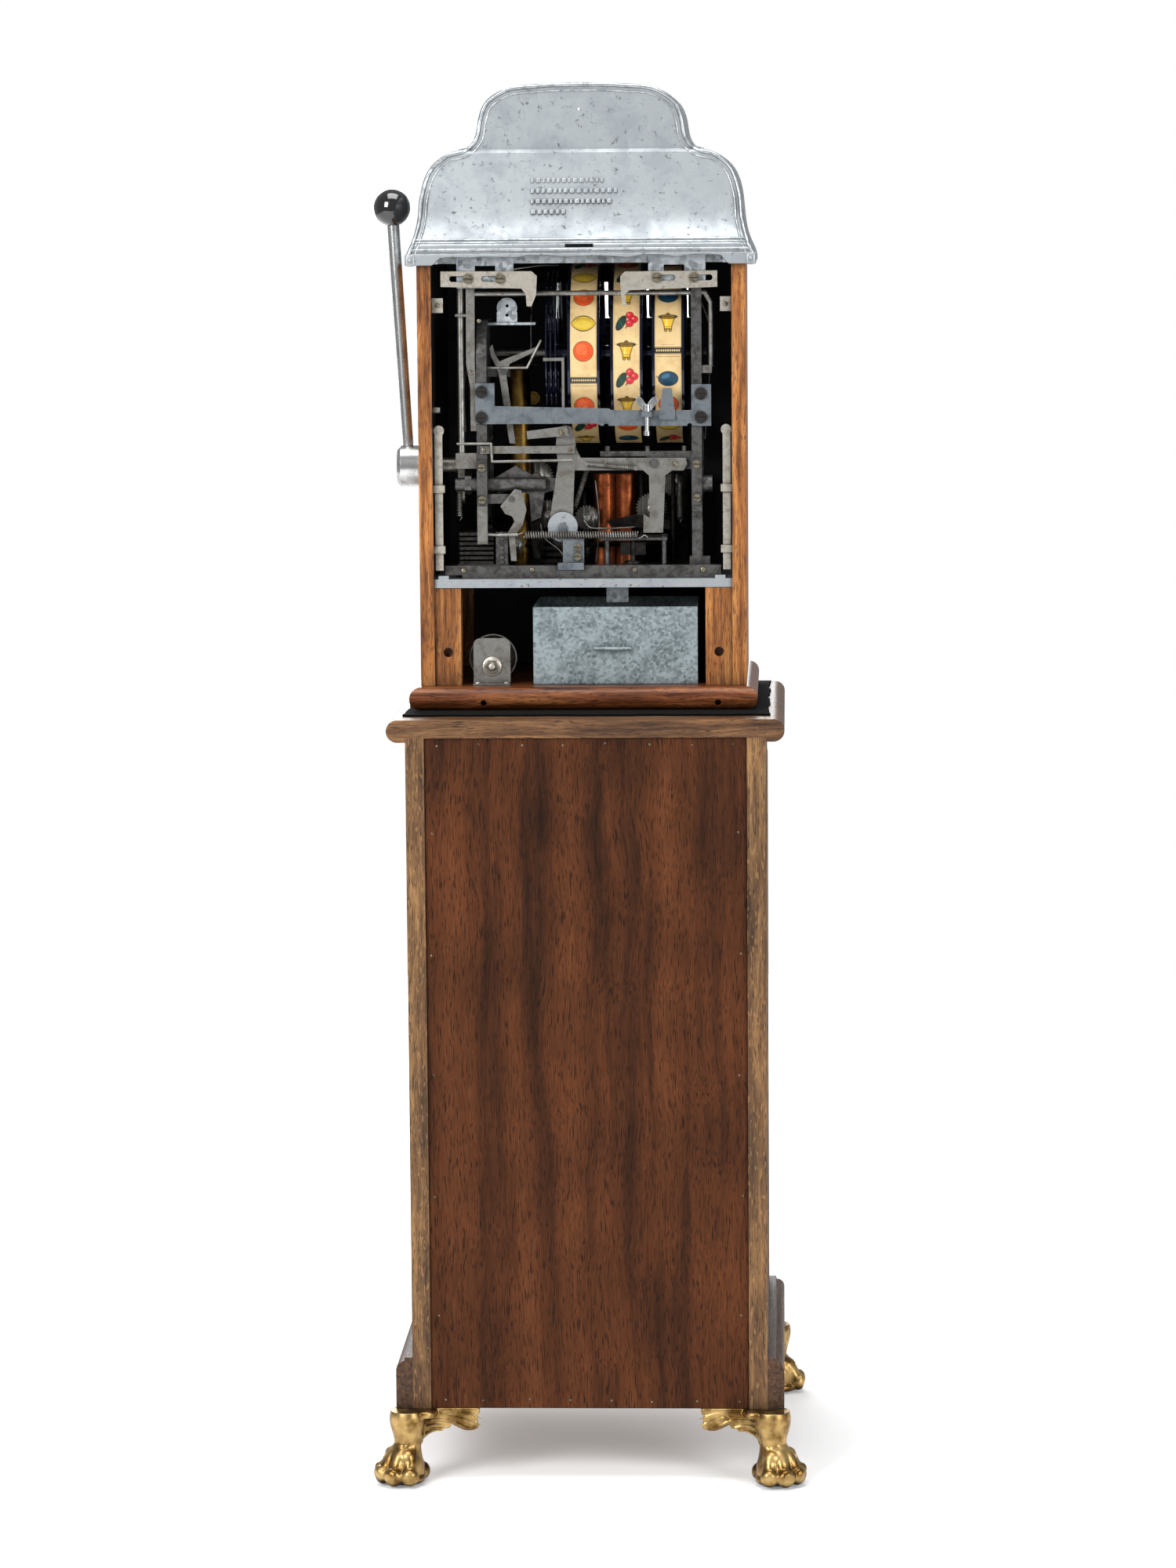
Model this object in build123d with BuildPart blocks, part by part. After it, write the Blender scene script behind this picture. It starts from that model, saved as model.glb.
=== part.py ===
"""Three-reel lever machine on a wooden stand with lion-paw feet, its rear door taken off.

Millimetres. +Z is up, the player stands on the -Y side and the open rear is on the +Y side.
The origin is on the floor under the middle of the four feet. The pull handle is on the +X side.
Inside the machine every place is given as (across, depth, height): across from the machine's
middle, depth forwards from the open rear, height above the mechanism shelf.
"""

from build123d import *
import os

# ---- Stand ----------------------------------------------------------------------------------
CABINET_WIDTH = 415.0
CABINET_DEPTH = 428.0
CABINET_HEIGHT = 789.5
FOOT_HEIGHT = 86.5
TOP_THICKNESS = 21.0
OVERHANG = 22.0             # how far the half-round moulding stands out
POST_WIDTH = 21.5
REAR_POST_DEPTH = 40.0
FRONT_POST_DEPTH = 20.0
RAIL_HEIGHT = 60.0
FRONT_TOP_RAIL = 20.0
PANEL_THICKNESS = 8.0
PANEL_SETBACK = 3.0         # panels lie this far behind the faces of their frames
FLOOR_BOARD = 12.0
TOP_MOULDING_HEIGHT = 26.0
BASE_MOULDING_HEIGHT = 61.0
BASE_MOULDING_THICKNESS = 19.5
DOOR_THICKNESS = 18.0
DOOR_GAP = 2.0
DOOR_FIELD_DEPTH = 5.0
DOOR_STILE = 55.0
PIVOT_RADIUS = 3.0
PIVOT_LENGTH = 8.0
RUNNING_GAP = 0.08          # radial clearance of shafts and pins that turn
KNOB_RADIUS = 15.0
WING_LENGTH = 77.0
WING_WIDTH = 34.0
PAD_THICKNESS = 4.0
LEAF_THICKNESS = 8.0
LEAF_INSET = 2.0
SCREW_RADIUS = 2.0
SCREW_LENGTH = 11.0

# ---- Machine case ---------------------------------------------------------------------------
FELT = 2.5
MACHINE_X = 5.0             # the machine stands a little towards the handle side
PLINTH_WIDTH = 406.0
PLINTH_DEPTH = 331.5
PLINTH_HEIGHT = 27.0
PLINTH_SETBACK = 76.6       # from the stand's rear edge
PLINTH_NOSE = 13.0
CASE_WIDTH = 381.0
CASE_WALL = 16.5
CASE_HEIGHT = 491.0
CASE_INSET = 23.9           # from the plinth's rear edge to the case's
CASE_DEPTH = 273.5
FRONT_THICKNESS = 12.0
SHELF_HEIGHT = 124.5        # shelf top above the plinth
SHELF_THICKNESS = 10.0
HOOD_WALL = 6.0
HOOD_FLANGE = 17.0
SIGN_HOLE = (2.2, 544.0)     # a screw hole in the rear of the arch
SIGN_HOLE_RADIUS = 1.7
SIGN_PORT = (12.8, 548.0)    # the round hole in front of it that a topper is bolted through
SIGN_PORT_RADIUS = 8.0
WINDOW_X = (20.0, -123.0)
WINDOW_Z = (296.0, 344.0)
CUP_SIZE = (120.0, 34.0, 46.0)
COIN_BOX_SIZE = (192.7, 150.0, 90.5)
SLIDING_GAP = 0.3           # between faces that slide past each other

# ---- Mechanism ------------------------------------------------------------------------------
REEL_RADIUS = 107.0
REEL_WIDTH = 37.3
REEL_RIM = 4.0
REEL_CENTRES = (-1.3, -51.5, -100.0)
REEL_DISC_X = (32.0, 37.5, 43.0)
REEL_DISC_RADIUS = 96.0
REEL_AXIS = (134.5, 259.0)
SHAFT_RADIUS = 5.0
TUBE_WALL = 1.6
HANDLE_AXIS = (90.0, 129.0)
HANDLE_LENGTH = 303.0
BALL_RADIUS = 22.0
HUB_RADIUS = 25.0
HUB_LENGTH = 28.5
OPERATING_RADIUS = 9.0
CRANK_LENGTH = 35.0
ROCKER_AXIS = (36.0, 109.0)
ROCKER_RADIUS = 8.0
LEVER_PIVOT = (-82.6, 133.0)
KICKER_PIVOT = (83.9, 92.5)
FORK_PIVOT = (93.0, 240.0)
ROLLER_CENTRE = (24.2, 59.5)
ROLLER_RADIUS = 17.5
PIN_RADIUS = 3.0
FRAME_THICKNESS = 12.0
FRAME_X = (124.0, -127.0)   # the +X faces of the two side frames
FRAME_REAR = 25.5
FRAME_WINDOW = ((75, 90), (75, 225), (118, 225), (150, 160), (150, 90))
LATCH_Z = 349.0
LATCH_TRAVEL = 18.0
LOCK_TRAVEL = 10.0
SLIDE_COUNT = 7
SLIDE_PITCH = 5.6
BASE_PLATE = 8.0
BASE_RAIL = 14.8
TUBE_BORE = 11.5

# ---- Worked out from those ------------------------------------------------------------------
HALF_W = CABINET_WIDTH / 2
INNER_W = HALF_W - POST_WIDTH
REAR = CABINET_DEPTH / 2
FRONT = -REAR
CABINET_TOP = FOOT_HEIGHT + CABINET_HEIGHT
STAND_TOP = CABINET_TOP + TOP_THICKNESS
PLINTH_BOTTOM = STAND_TOP + FELT
PLINTH_TOP = PLINTH_BOTTOM + PLINTH_HEIGHT
PLINTH_REAR = REAR - PLINTH_SETBACK
CASE_REAR = PLINTH_REAR - CASE_INSET
SHELF_TOP = PLINTH_TOP + SHELF_HEIGHT
OUTER = CASE_WIDTH / 2
INNER = OUTER - CASE_WALL
FLOOR = -SHELF_HEIGHT                   # the plinth's top, measured from the shelf
CASE_TOP = CASE_HEIGHT - SHELF_HEIGHT
FRONT_FACE = CASE_DEPTH + FRONT_THICKNESS

os.makedirs("parts", exist_ok=True)


def write(piece, name):
    """Labels a finished piece and writes its STEP file."""
    piece.part.label = name
    export_step(piece.part, f"parts/{name}.step")


def rear(depth):
    """The plane at a depth: x across, y up from the shelf, its normal forwards along -Y."""
    return Plane((MACHINE_X, CASE_REAR - depth, SHELF_TOP), x_dir=(1, 0, 0), z_dir=(0, -1, 0))


def across(x):
    """The plane at one width: x is depth, y up from the shelf, its normal along -X."""
    return Plane((MACHINE_X + x, CASE_REAR, SHELF_TOP), x_dir=(0, -1, 0), z_dir=(-1, 0, 0))


def level(z):
    """The plane at one height above the shelf: x across, y is minus the depth."""
    return Plane((MACHINE_X, CASE_REAR, SHELF_TOP + z))


def bar(x0, x1, y0, y1, z0, z1, mode=Mode.ADD):
    """A block between two corners in the frame's own coordinates."""
    with Locations(((x0 + x1) / 2, (y0 + y1) / 2, (z0 + z1) / 2)):
        Box(abs(x1 - x0), abs(y1 - y0), abs(z1 - z0), mode=mode)


def block(x0, x1, d0, d1, z0, z1, mode=Mode.ADD):
    """A block given across, in depth and in height above the shelf."""
    y0, y1 = CASE_REAR - d0, CASE_REAR - d1
    bar(MACHINE_X + x0, MACHINE_X + x1, y0, y1, SHELF_TOP + z0, SHELF_TOP + z1, mode)


def plate(d0, d1, *points, mode=Mode.ADD):
    """A flat plate facing the open rear, its outline given across and up."""
    with BuildSketch(rear(d0)) as section:
        Polygon(*points, align=None)
    extrude(section.sketch, amount=d1 - d0, mode=mode)


def side_plate(x0, x1, *points, mode=Mode.ADD):
    """A flat plate seen from the side, from x0 to a lower x1, outline in depth and height."""
    with BuildSketch(across(x0)) as section:
        Polygon(*points, align=None)
    extrude(section.sketch, amount=x0 - x1, mode=mode)


def rod_in(x, z, d0, d1, radius, mode=Mode.ADD):
    """A round bar that runs from the rear towards the front."""
    with BuildSketch(rear(d0)) as section:
        with Locations((x, z)):
            Circle(radius)
    extrude(section.sketch, amount=d1 - d0, mode=mode)


def rod_across(x0, x1, axis, radius, mode=Mode.ADD):
    """A round bar from x0 to a lower x1 on an axis given in depth and height."""
    with BuildSketch(across(x0)) as section:
        with Locations(axis):
            Circle(radius)
    extrude(section.sketch, amount=x0 - x1, mode=mode)


def rod_up(x, depth, z0, z1, radius, mode=Mode.ADD):
    """An upright round bar."""
    with BuildSketch(level(z0)) as section:
        with Locations((x, -depth)):
            Circle(radius)
    extrude(section.sketch, amount=z1 - z0, mode=mode)


def wire(radius, *points):
    """A bent wire through points given across, in depth and in height."""
    spots = [Vector(MACHINE_X + x, CASE_REAR - d, SHELF_TOP + z) for x, d, z in points]
    for start, end in zip(spots, spots[1:]):
        with BuildSketch(Plane(origin=start, z_dir=end - start)) as section:
            Circle(radius)
        extrude(section.sketch, amount=(end - start).length)
    if len(spots) > 2:
        with Locations(*spots[1:-1]):
            Sphere(radius)


# ---- Stand: frame, panels and boards --------------------------------------------------------
foot_screw_spots = [
    (sx * (HALF_W - a), sy * (REAR - b))
    for sx in (1, -1)
    for sy in (1, -1)
    for a, b in ((58.0, 26.0), (26.0, 58.0))
]
door_bottom = FOOT_HEIGHT + BASE_MOULDING_HEIGHT + 2 * DOOR_GAP
door_top = CABINET_TOP - FRONT_TOP_RAIL - DOOR_GAP
door_pivot = (INNER_W - DOOR_GAP - DOOR_THICKNESS / 2, FRONT + DOOR_THICKNESS / 2)

with BuildPart() as stand_frame:
    for side in (1, -1):
        x0, x1 = side * INNER_W, side * HALF_W
        bar(x0, x1, REAR - REAR_POST_DEPTH, REAR, FOOT_HEIGHT, CABINET_TOP)
        bar(x0, x1, FRONT, FRONT + FRONT_POST_DEPTH, FOOT_HEIGHT, CABINET_TOP)
        for z0 in (FOOT_HEIGHT, CABINET_TOP - RAIL_HEIGHT):
            y0, y1 = FRONT + FRONT_POST_DEPTH, REAR - REAR_POST_DEPTH
            bar(x0, x1, y0, y1, z0, z0 + RAIL_HEIGHT)
    rail_rear = FRONT + DOOR_THICKNESS
    bar(-INNER_W, INNER_W, FRONT, rail_rear, FOOT_HEIGHT, door_bottom - DOOR_GAP)
    bar(-INNER_W, INNER_W, FRONT, rail_rear, CABINET_TOP - FRONT_TOP_RAIL, CABINET_TOP)
    with Locations((*door_pivot, door_bottom - PIVOT_LENGTH), (*door_pivot, door_top)):
        Cylinder(
            PIVOT_RADIUS + RUNNING_GAP,
            PIVOT_LENGTH + 1,
            align=(Align.CENTER, Align.CENTER, Align.MIN),
            mode=Mode.SUBTRACT,
        )
write(stand_frame, "stand_frame")

with BuildPart() as stand_panels:
    for side in (1, -1):
        x0 = side * (HALF_W - PANEL_SETBACK)
        x1 = side * (HALF_W - PANEL_SETBACK - PANEL_THICKNESS)
        y0, y1 = FRONT + FRONT_POST_DEPTH, REAR - REAR_POST_DEPTH
        bar(x0, x1, y0, y1, FOOT_HEIGHT + RAIL_HEIGHT, CABINET_TOP - RAIL_HEIGHT)
    floor_rear = REAR - PANEL_SETBACK - PANEL_THICKNESS
    bar(-INNER_W, INNER_W, rail_rear, floor_rear, FOOT_HEIGHT, FOOT_HEIGHT + FLOOR_BOARD)
    with BuildSketch(Plane.XY.offset(FOOT_HEIGHT)):
        with Locations(*foot_screw_spots):
            Circle(SCREW_RADIUS)
    extrude(amount=FLOOR_BOARD, mode=Mode.SUBTRACT)
write(stand_panels, "stand_panels")

with BuildPart() as stand_rear_panel:
    bar(-INNER_W, INNER_W, floor_rear, REAR - PANEL_SETBACK, FOOT_HEIGHT, CABINET_TOP)
write(stand_rear_panel, "stand_rear_panel")

with BuildPart() as stand_top_board:
    bar(-HALF_W, HALF_W, FRONT, REAR, CABINET_TOP, STAND_TOP)
write(stand_top_board, "stand_top_board")

# ---- Stand: mouldings, mitred at the two front corners --------------------------------------
moulding_start = Plane((HALF_W, REAR, 0), x_dir=(1, 0, 0), z_dir=(0, 1, 0))
with BuildPart() as top_moulding:
    with BuildLine() as top_path:
        Polyline(
            (HALF_W, REAR, 0),
            (HALF_W, FRONT, 0),
            (-HALF_W, FRONT, 0),
            (-HALF_W, REAR, 0),
        )
    nose = TOP_MOULDING_HEIGHT / 2
    with BuildSketch(moulding_start):
        with BuildLine():
            Polyline(
                (OVERHANG - nose, -STAND_TOP),
                (0, -STAND_TOP),
                (0, TOP_MOULDING_HEIGHT - STAND_TOP),
                (OVERHANG - nose, TOP_MOULDING_HEIGHT - STAND_TOP),
            )
            ThreePointArc(
                (OVERHANG - nose, -STAND_TOP),
                (OVERHANG, nose - STAND_TOP),
                (OVERHANG - nose, TOP_MOULDING_HEIGHT - STAND_TOP),
            )
        make_face()
    sweep(path=top_path.line, transition=Transition.RIGHT)
write(top_moulding, "top_moulding")

with BuildPart() as base_moulding:
    with BuildLine() as base_path:
        Polyline(
            (HALF_W, REAR, 0),
            (HALF_W, FRONT, 0),
            (-HALF_W, FRONT, 0),
            (-HALF_W, REAR, 0),
        )
    thick, low = BASE_MOULDING_THICKNESS, -FOOT_HEIGHT
    high = -FOOT_HEIGHT - BASE_MOULDING_HEIGHT
    with BuildSketch(moulding_start):
        with BuildLine():
            Polyline((9, high), (0, high), (0, low), (thick, low), (thick, high + 15))
            ThreePointArc((thick, high + 15), (thick - 3, high + 8), (10, high + 4))
            Line((10, high + 4), (9, high))
        make_face()
    sweep(path=base_path.line, transition=Transition.RIGHT)
write(base_moulding, "base_moulding")

# ---- Stand: door, knob ----------------------------------------------------------------------
with BuildPart() as stand_door:
    bar(
        -(INNER_W - DOOR_GAP),
        door_pivot[0],
        FRONT,
        FRONT + DOOR_THICKNESS,
        door_bottom,
        door_top,
    )
    with Locations((*door_pivot, door_bottom)):
        Cylinder(
            DOOR_THICKNESS / 2,
            door_top - door_bottom,
            align=(Align.CENTER, Align.CENTER, Align.MIN),
        )
    with Locations((*door_pivot, door_bottom - PIVOT_LENGTH + 1)):
        Cylinder(
            PIVOT_RADIUS,
            door_top - door_bottom + 2 * PIVOT_LENGTH - 2,
            align=(Align.CENTER, Align.CENTER, Align.MIN),
        )
    bar(
        -(INNER_W - DOOR_STILE),
        INNER_W - DOOR_STILE,
        FRONT,
        FRONT + DOOR_FIELD_DEPTH,
        door_bottom + DOOR_STILE,
        door_top - DOOR_STILE,
        mode=Mode.SUBTRACT,
    )
write(stand_door, "stand_door")

knob_x = -(INNER_W - DOOR_STILE / 2)
with BuildPart() as door_knob:
    with BuildSketch(Plane((knob_x, FRONT, 520), x_dir=(1, 0, 0), z_dir=(0, -1, 0))):
        Circle(KNOB_RADIUS * 0.8)
    extrude(amount=3)
    with BuildSketch(Plane((knob_x, FRONT - 3, 520), x_dir=(1, 0, 0), z_dir=(0, -1, 0))):
        Circle(KNOB_RADIUS * 0.4)
    extrude(amount=10)
    with Locations((knob_x, FRONT - 20, 520)):
        Sphere(KNOB_RADIUS)
    bar(knob_x - 20, knob_x + 20, FRONT - 60, FRONT - 31, 490, 550, mode=Mode.SUBTRACT)
write(door_knob, "door_knob")

# ---- Stand: paw feet ------------------------------------------------------------------------
# Each row: distance outwards along the corner's diagonal, height, half lengths along and across.
PAW_SECTIONS = (
    (22.0, 0.0, 27.0, 30.0),
    (24.7, 12.0, 30.0, 32.0),
    (20.0, 26.0, 26.0, 29.0),
    (8.0, 42.0, 19.0, 20.0),
    (-2.0, 60.0, 18.0, 19.0),
    (-6.0, 82.5, 25.0, 25.0),
)
LEAF = (
    (0.0, 0.0), (77.0, 0.0), (77.0, -10.0), (64.0, -20.0), (44.0, -19.0), (30.0, -28.0), (0.0, -34.0),
)
with BuildPart() as paw_feet:
    for sx in (1, -1):
        for sy in (1, -1):
            with BuildPart(mode=Mode.PRIVATE) as paw:
                for off, z, along, wide in PAW_SECTIONS:
                    spot = (sx * (HALF_W + off * 0.7071), sy * (REAR + off * 0.7071), z)
                    with BuildSketch(Plane(spot, x_dir=(sx, sy, 0), z_dir=(0, 0, 1))):
                        Ellipse(along, wide)
                loft()
            add(paw.part)
            pad_z = FOOT_HEIGHT - PAD_THICKNESS
            bar(
                sx * (HALF_W - WING_LENGTH), sx * HALF_W,
                sy * (REAR - WING_WIDTH), sy * REAR,
                pad_z, FOOT_HEIGHT,
            )
            bar(
                sx * (HALF_W - WING_WIDTH), sx * HALF_W,
                sy * (REAR - WING_LENGTH), sy * REAR,
                pad_z, FOOT_HEIGHT,
            )
            root = (sx * HALF_W, sy * (REAR - LEAF_INSET), pad_z)
            rear_leaf = Plane(root, x_dir=(-sx, 0, 0), z_dir=(0, sx, 0))
            with BuildSketch(rear_leaf):
                Polygon(*LEAF, align=None)
            extrude(amount=-sx * sy * LEAF_THICKNESS)
            root = (sx * (HALF_W - LEAF_INSET), sy * REAR, pad_z)
            side_leaf = Plane(root, x_dir=(0, -sy, 0), z_dir=(-sy, 0, 0))
            with BuildSketch(side_leaf):
                Polygon(*LEAF, align=None)
            extrude(amount=sx * sy * LEAF_THICKNESS)
    with BuildSketch(Plane.XY):
        with Locations(*foot_screw_spots):
            Circle(SCREW_RADIUS)
    extrude(amount=FOOT_HEIGHT, mode=Mode.SUBTRACT)
write(paw_feet, "paw_feet")

with BuildPart() as foot_screws:
    with BuildSketch(Plane.XY.offset(FOOT_HEIGHT - PAD_THICKNESS)):
        with Locations(*foot_screw_spots):
            Circle(SCREW_RADIUS)
    extrude(amount=SCREW_LENGTH)
    with BuildSketch(Plane.XY.offset(FOOT_HEIGHT - PAD_THICKNESS - 2)):
        with Locations(*foot_screw_spots):
            Circle(SCREW_RADIUS * 2)
    extrude(amount=2)
write(foot_screws, "foot_screws")

# ---- Felt mat, plinth and case --------------------------------------------------------------
with BuildPart() as felt_mat:
    with BuildSketch(Plane((0, PLINTH_REAR - PLINTH_DEPTH / 2 + 12, STAND_TOP))):
        Rectangle(2 * HALF_W + 12, PLINTH_DEPTH + 60)
    extrude(amount=FELT)
write(felt_mat, "felt_mat")

with BuildPart() as plinth:
    bar(
        MACHINE_X - PLINTH_WIDTH / 2,
        MACHINE_X + PLINTH_WIDTH / 2,
        PLINTH_REAR - PLINTH_DEPTH,
        PLINTH_REAR,
        PLINTH_BOTTOM,
        PLINTH_TOP,
    )
    fillet(plinth.faces().sort_by(Axis.Z)[-1].edges(), PLINTH_NOSE)
    fillet(plinth.faces().sort_by(Axis.Z)[0].edges(), PLINTH_NOSE)
    for x in (116.2, -157.1):
        rod_in(x, FLOOR - 18, -CASE_INSET, 5, 3.5, mode=Mode.SUBTRACT)
write(plinth, "plinth")

with BuildPart() as case_sides:
    for side in (1, -1):
        block(side * INNER, side * OUTER, 0, CASE_DEPTH, FLOOR, CASE_TOP)
    rod_across(OUTER, INNER, HANDLE_AXIS, OPERATING_RADIUS + 3, mode=Mode.SUBTRACT)
write(case_sides, "case_sides")

with BuildPart() as shelf_posts:
    for x0, x1 in ((143.3, INNER), (-142.6, -INNER)):
        for d0 in (5.5, 236.0):
            block(x0, x1, d0, d0 + 30, FLOOR, -SHELF_THICKNESS)
        rod_in((x0 + x1) / 2, -85.7, 5.5, 17, 5.5, mode=Mode.SUBTRACT)
write(shelf_posts, "shelf_posts")

with BuildPart() as shelf:
    block(-INNER, INNER, 4, CASE_DEPTH, -SHELF_THICKNESS, 0)
    for x in (163.0, -160.0):
        block(x - 6, x + 6, 4, 10, 0, 4)
    block(-23.3, -52, 64.5, 92, -SHELF_THICKNESS, 0, mode=Mode.SUBTRACT)
write(shelf, "shelf")

with BuildPart() as coin_chute:
    for z0, z1, inset in ((-SHELF_THICKNESS - 3, -SHELF_THICKNESS, -3), (-32.7, -13, 1.5)):
        block(-23.3 - inset, -52 + inset, 64.5 + inset, 92 - inset, z0, z1)
    block(-26.8, -48.5, 68, 88.5, -33, -SHELF_THICKNESS, mode=Mode.SUBTRACT)
write(coin_chute, "coin_chute")

with BuildPart() as front_casting:
    block(-OUTER, OUTER, CASE_DEPTH, FRONT_FACE, FLOOR, CASE_TOP)
    block(*WINDOW_X, CASE_DEPTH, FRONT_FACE, *WINDOW_Z, mode=Mode.SUBTRACT)
    block(-20, 20, CASE_DEPTH, FRONT_FACE, -92, -78, mode=Mode.SUBTRACT)
    rod_in(70, 200, CASE_DEPTH, FRONT_FACE, 5 + RUNNING_GAP, mode=Mode.SUBTRACT)
    for x in (160.0, -160.0):
        block(x - 14, x + 14, FRONT_FACE, FRONT_FACE + 6, FLOOR, CASE_TOP - 10)
write(front_casting, "front_casting")

with BuildPart() as window_glass:
    lap = 8
    x0, x1 = WINDOW_X[0] + lap, WINDOW_X[1] - lap
    block(x0, x1, CASE_DEPTH - 3, CASE_DEPTH, WINDOW_Z[0] - lap, WINDOW_Z[1] + lap)
write(window_glass, "window_glass")


# ---- Hood -----------------------------------------------------------------------------------
def hood_side(inset):
    """Half the hood's outline from the rear, as (across, height) points, drawn in by an inset."""
    points = (
        (203.0, CASE_TOP),
        (202.0, 376.0),
        (196.0, 390.0),
        (190.0, 412.0),
        (186.0, 448.0),
        (174.5, 478.0),
        (156.0, 493.0),
        (133.0, 500.0),
        (123.5, 511.0),
        (119.5, 530.0),
        (112.0, 551.0),
        (92.0, 566.0),
        (46.0, 573.0),
        (0.0, 574.5),
    )
    return [(x - inset * min(1.0, x / 60), z - (inset if z > CASE_TOP else 0)) for x, z in points]


with BuildPart() as hood:
    right = hood_side(0)
    left = [(-x, z) for x, z in reversed(right)]
    with BuildSketch(rear(-12)):
        with BuildLine():
            Spline(*right[:8])
            Spline(*right[7:], *left[1:7])
            Spline(*left[6:])
            Line(left[-1], right[0])
        make_face()
    extrude(amount=FRONT_FACE + 12)
    with BuildSketch(across(OUTER + 20)):
        with BuildLine():
            Polyline((-10, CASE_TOP), (-10, 388))
            Spline((-10, 388), (-4, 396), (8, 416), (20, 455), (28, 494))
            Polyline((28, 494), (32, 498), (32, 580), (262, 580))
            Spline((262, 580), (280, 555), (FRONT_FACE, 520))
            Polyline((FRONT_FACE, 520), (FRONT_FACE, CASE_TOP), (-10, CASE_TOP))
        make_face()
    extrude(amount=2 * OUTER + 40, mode=Mode.INTERSECT)
    with BuildPart(mode=Mode.PRIVATE) as cavity:
        inner = hood_side(HOOD_WALL)
        inner_left = [(-x, z) for x, z in reversed(inner)]
        with BuildSketch(rear(-12)):
            Polygon(*inner, *inner_left[1:], align=None)
        extrude(amount=FRONT_FACE + 12)
        with BuildSketch(across(OUTER + 20)):
            Polygon(
                (-4, CASE_TOP), (-4, 392), (14, 418), (26, 457), (34, 495), (38, 500), (38, 580),
                (255, 580), (272, 555), (FRONT_FACE - 8, 520), (FRONT_FACE - 8, CASE_TOP),
                align=None,
            )
        extrude(amount=2 * OUTER + 40, mode=Mode.INTERSECT)
        for side in (1, -1):
            x0, x1, top = side * INNER, side * 230, CASE_TOP + HOOD_FLANGE
            block(x0, x1, -12, FRONT_FACE, CASE_TOP, top, mode=Mode.SUBTRACT)
    add(cavity.part, mode=Mode.SUBTRACT)
    block(-165, 165, -12, 0, CASE_TOP, CASE_TOP + 9, mode=Mode.SUBTRACT)
    block(17.4, -15.3, -12, 0, 385, 389, mode=Mode.SUBTRACT)
    rod_in(*SIGN_HOLE, 20, 60, SIGN_HOLE_RADIUS, mode=Mode.SUBTRACT)
    rod_in(*SIGN_PORT, 200, FRONT_FACE + 1, SIGN_PORT_RADIUS, mode=Mode.SUBTRACT)
write(hood, "hood")

with BuildPart() as latch_plates:
    block(-INNER, INNER, 19, 31, CASE_TOP, CASE_TOP + 14)
    for x0, notch in ((78.7, 99.9), (-144.3, -119.6)):
        block(x0, x0 + 66.4, 16, 19, 338, CASE_TOP + 14)
        block(notch, notch + 23.7, 16, 19, 354, 364, mode=Mode.SUBTRACT)
    for x in (131.5, 94.2, -87.9, -130.6):
        rod_in(x, LATCH_Z, 16, 19, PIN_RADIUS, mode=Mode.SUBTRACT)
write(latch_plates, "latch_plates")

# ---- Front fittings -------------------------------------------------------------------------
with BuildPart() as payout_cup:
    cup_w, cup_d, cup_h = CUP_SIZE
    block(-cup_w / 2, cup_w / 2, FRONT_FACE, FRONT_FACE + cup_d, -118, -118 + cup_h)
    bottom = payout_cup.edges().filter_by(Axis.X).group_by(Axis.Z)[0].sort_by(Axis.Y)[0]
    fillet(bottom, 16)
    uprights = payout_cup.edges().filter_by(Axis.Z).group_by(Axis.Y)[0]
    fillet(uprights, 8)
    block(
        -cup_w / 2 + 4, cup_w / 2 - 4, FRONT_FACE + 4, FRONT_FACE + cup_d - 4, -104, -50,
        mode=Mode.SUBTRACT,
    )
    block(-20, 20, FRONT_FACE, FRONT_FACE + 4, -92, -78, mode=Mode.SUBTRACT)
write(payout_cup, "payout_cup")

with BuildPart() as front_fittings:
    block(-110, 110, FRONT_FACE, FRONT_FACE + 2.5, 20, 160)
    block(-104, 104, FRONT_FACE + 1.5, FRONT_FACE + 2.5, 26, 154, mode=Mode.SUBTRACT)
    block(58, 92, FRONT_FACE, FRONT_FACE + 12, 408, 440)
    block(73.5, 76.5, FRONT_FACE + 4, FRONT_FACE + 12, 412, 436, mode=Mode.SUBTRACT)
write(front_fittings, "front_fittings")

with BuildPart() as return_button:
    rod_in(70, 200, 262, FRONT_FACE + 8, 5)
    rod_in(70, 200, FRONT_FACE + 7, FRONT_FACE + 12, 9)
    rod_in(70, 200, 264, 267, 8)
write(return_button, "return_button")

# ---- Mechanism: base and side frames --------------------------------------------------------
with BuildPart() as mechanism_base:
    block(-161, 162, 16.5, 28.5, 4, BASE_RAIL)
    block(-154, 142, 16.5, 28.5, 0, 5)
    block(-154, 150, 28.5, 250, 0, BASE_PLATE)
    block(94, 148, 28.5, 112, BASE_PLATE, 15.5)
    block(88, 95, 28.5, 43, BASE_PLATE, 15.5)
    block(89, 103, 29.5, 42, 15, 15 + SLIDE_COUNT * SLIDE_PITCH - 1)
    for row in range(SLIDE_COUNT):
        rod_in(96, 18.2 + row * SLIDE_PITCH, 27.5, 30, 2.4)
write(mechanism_base, "mechanism_base")

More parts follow.
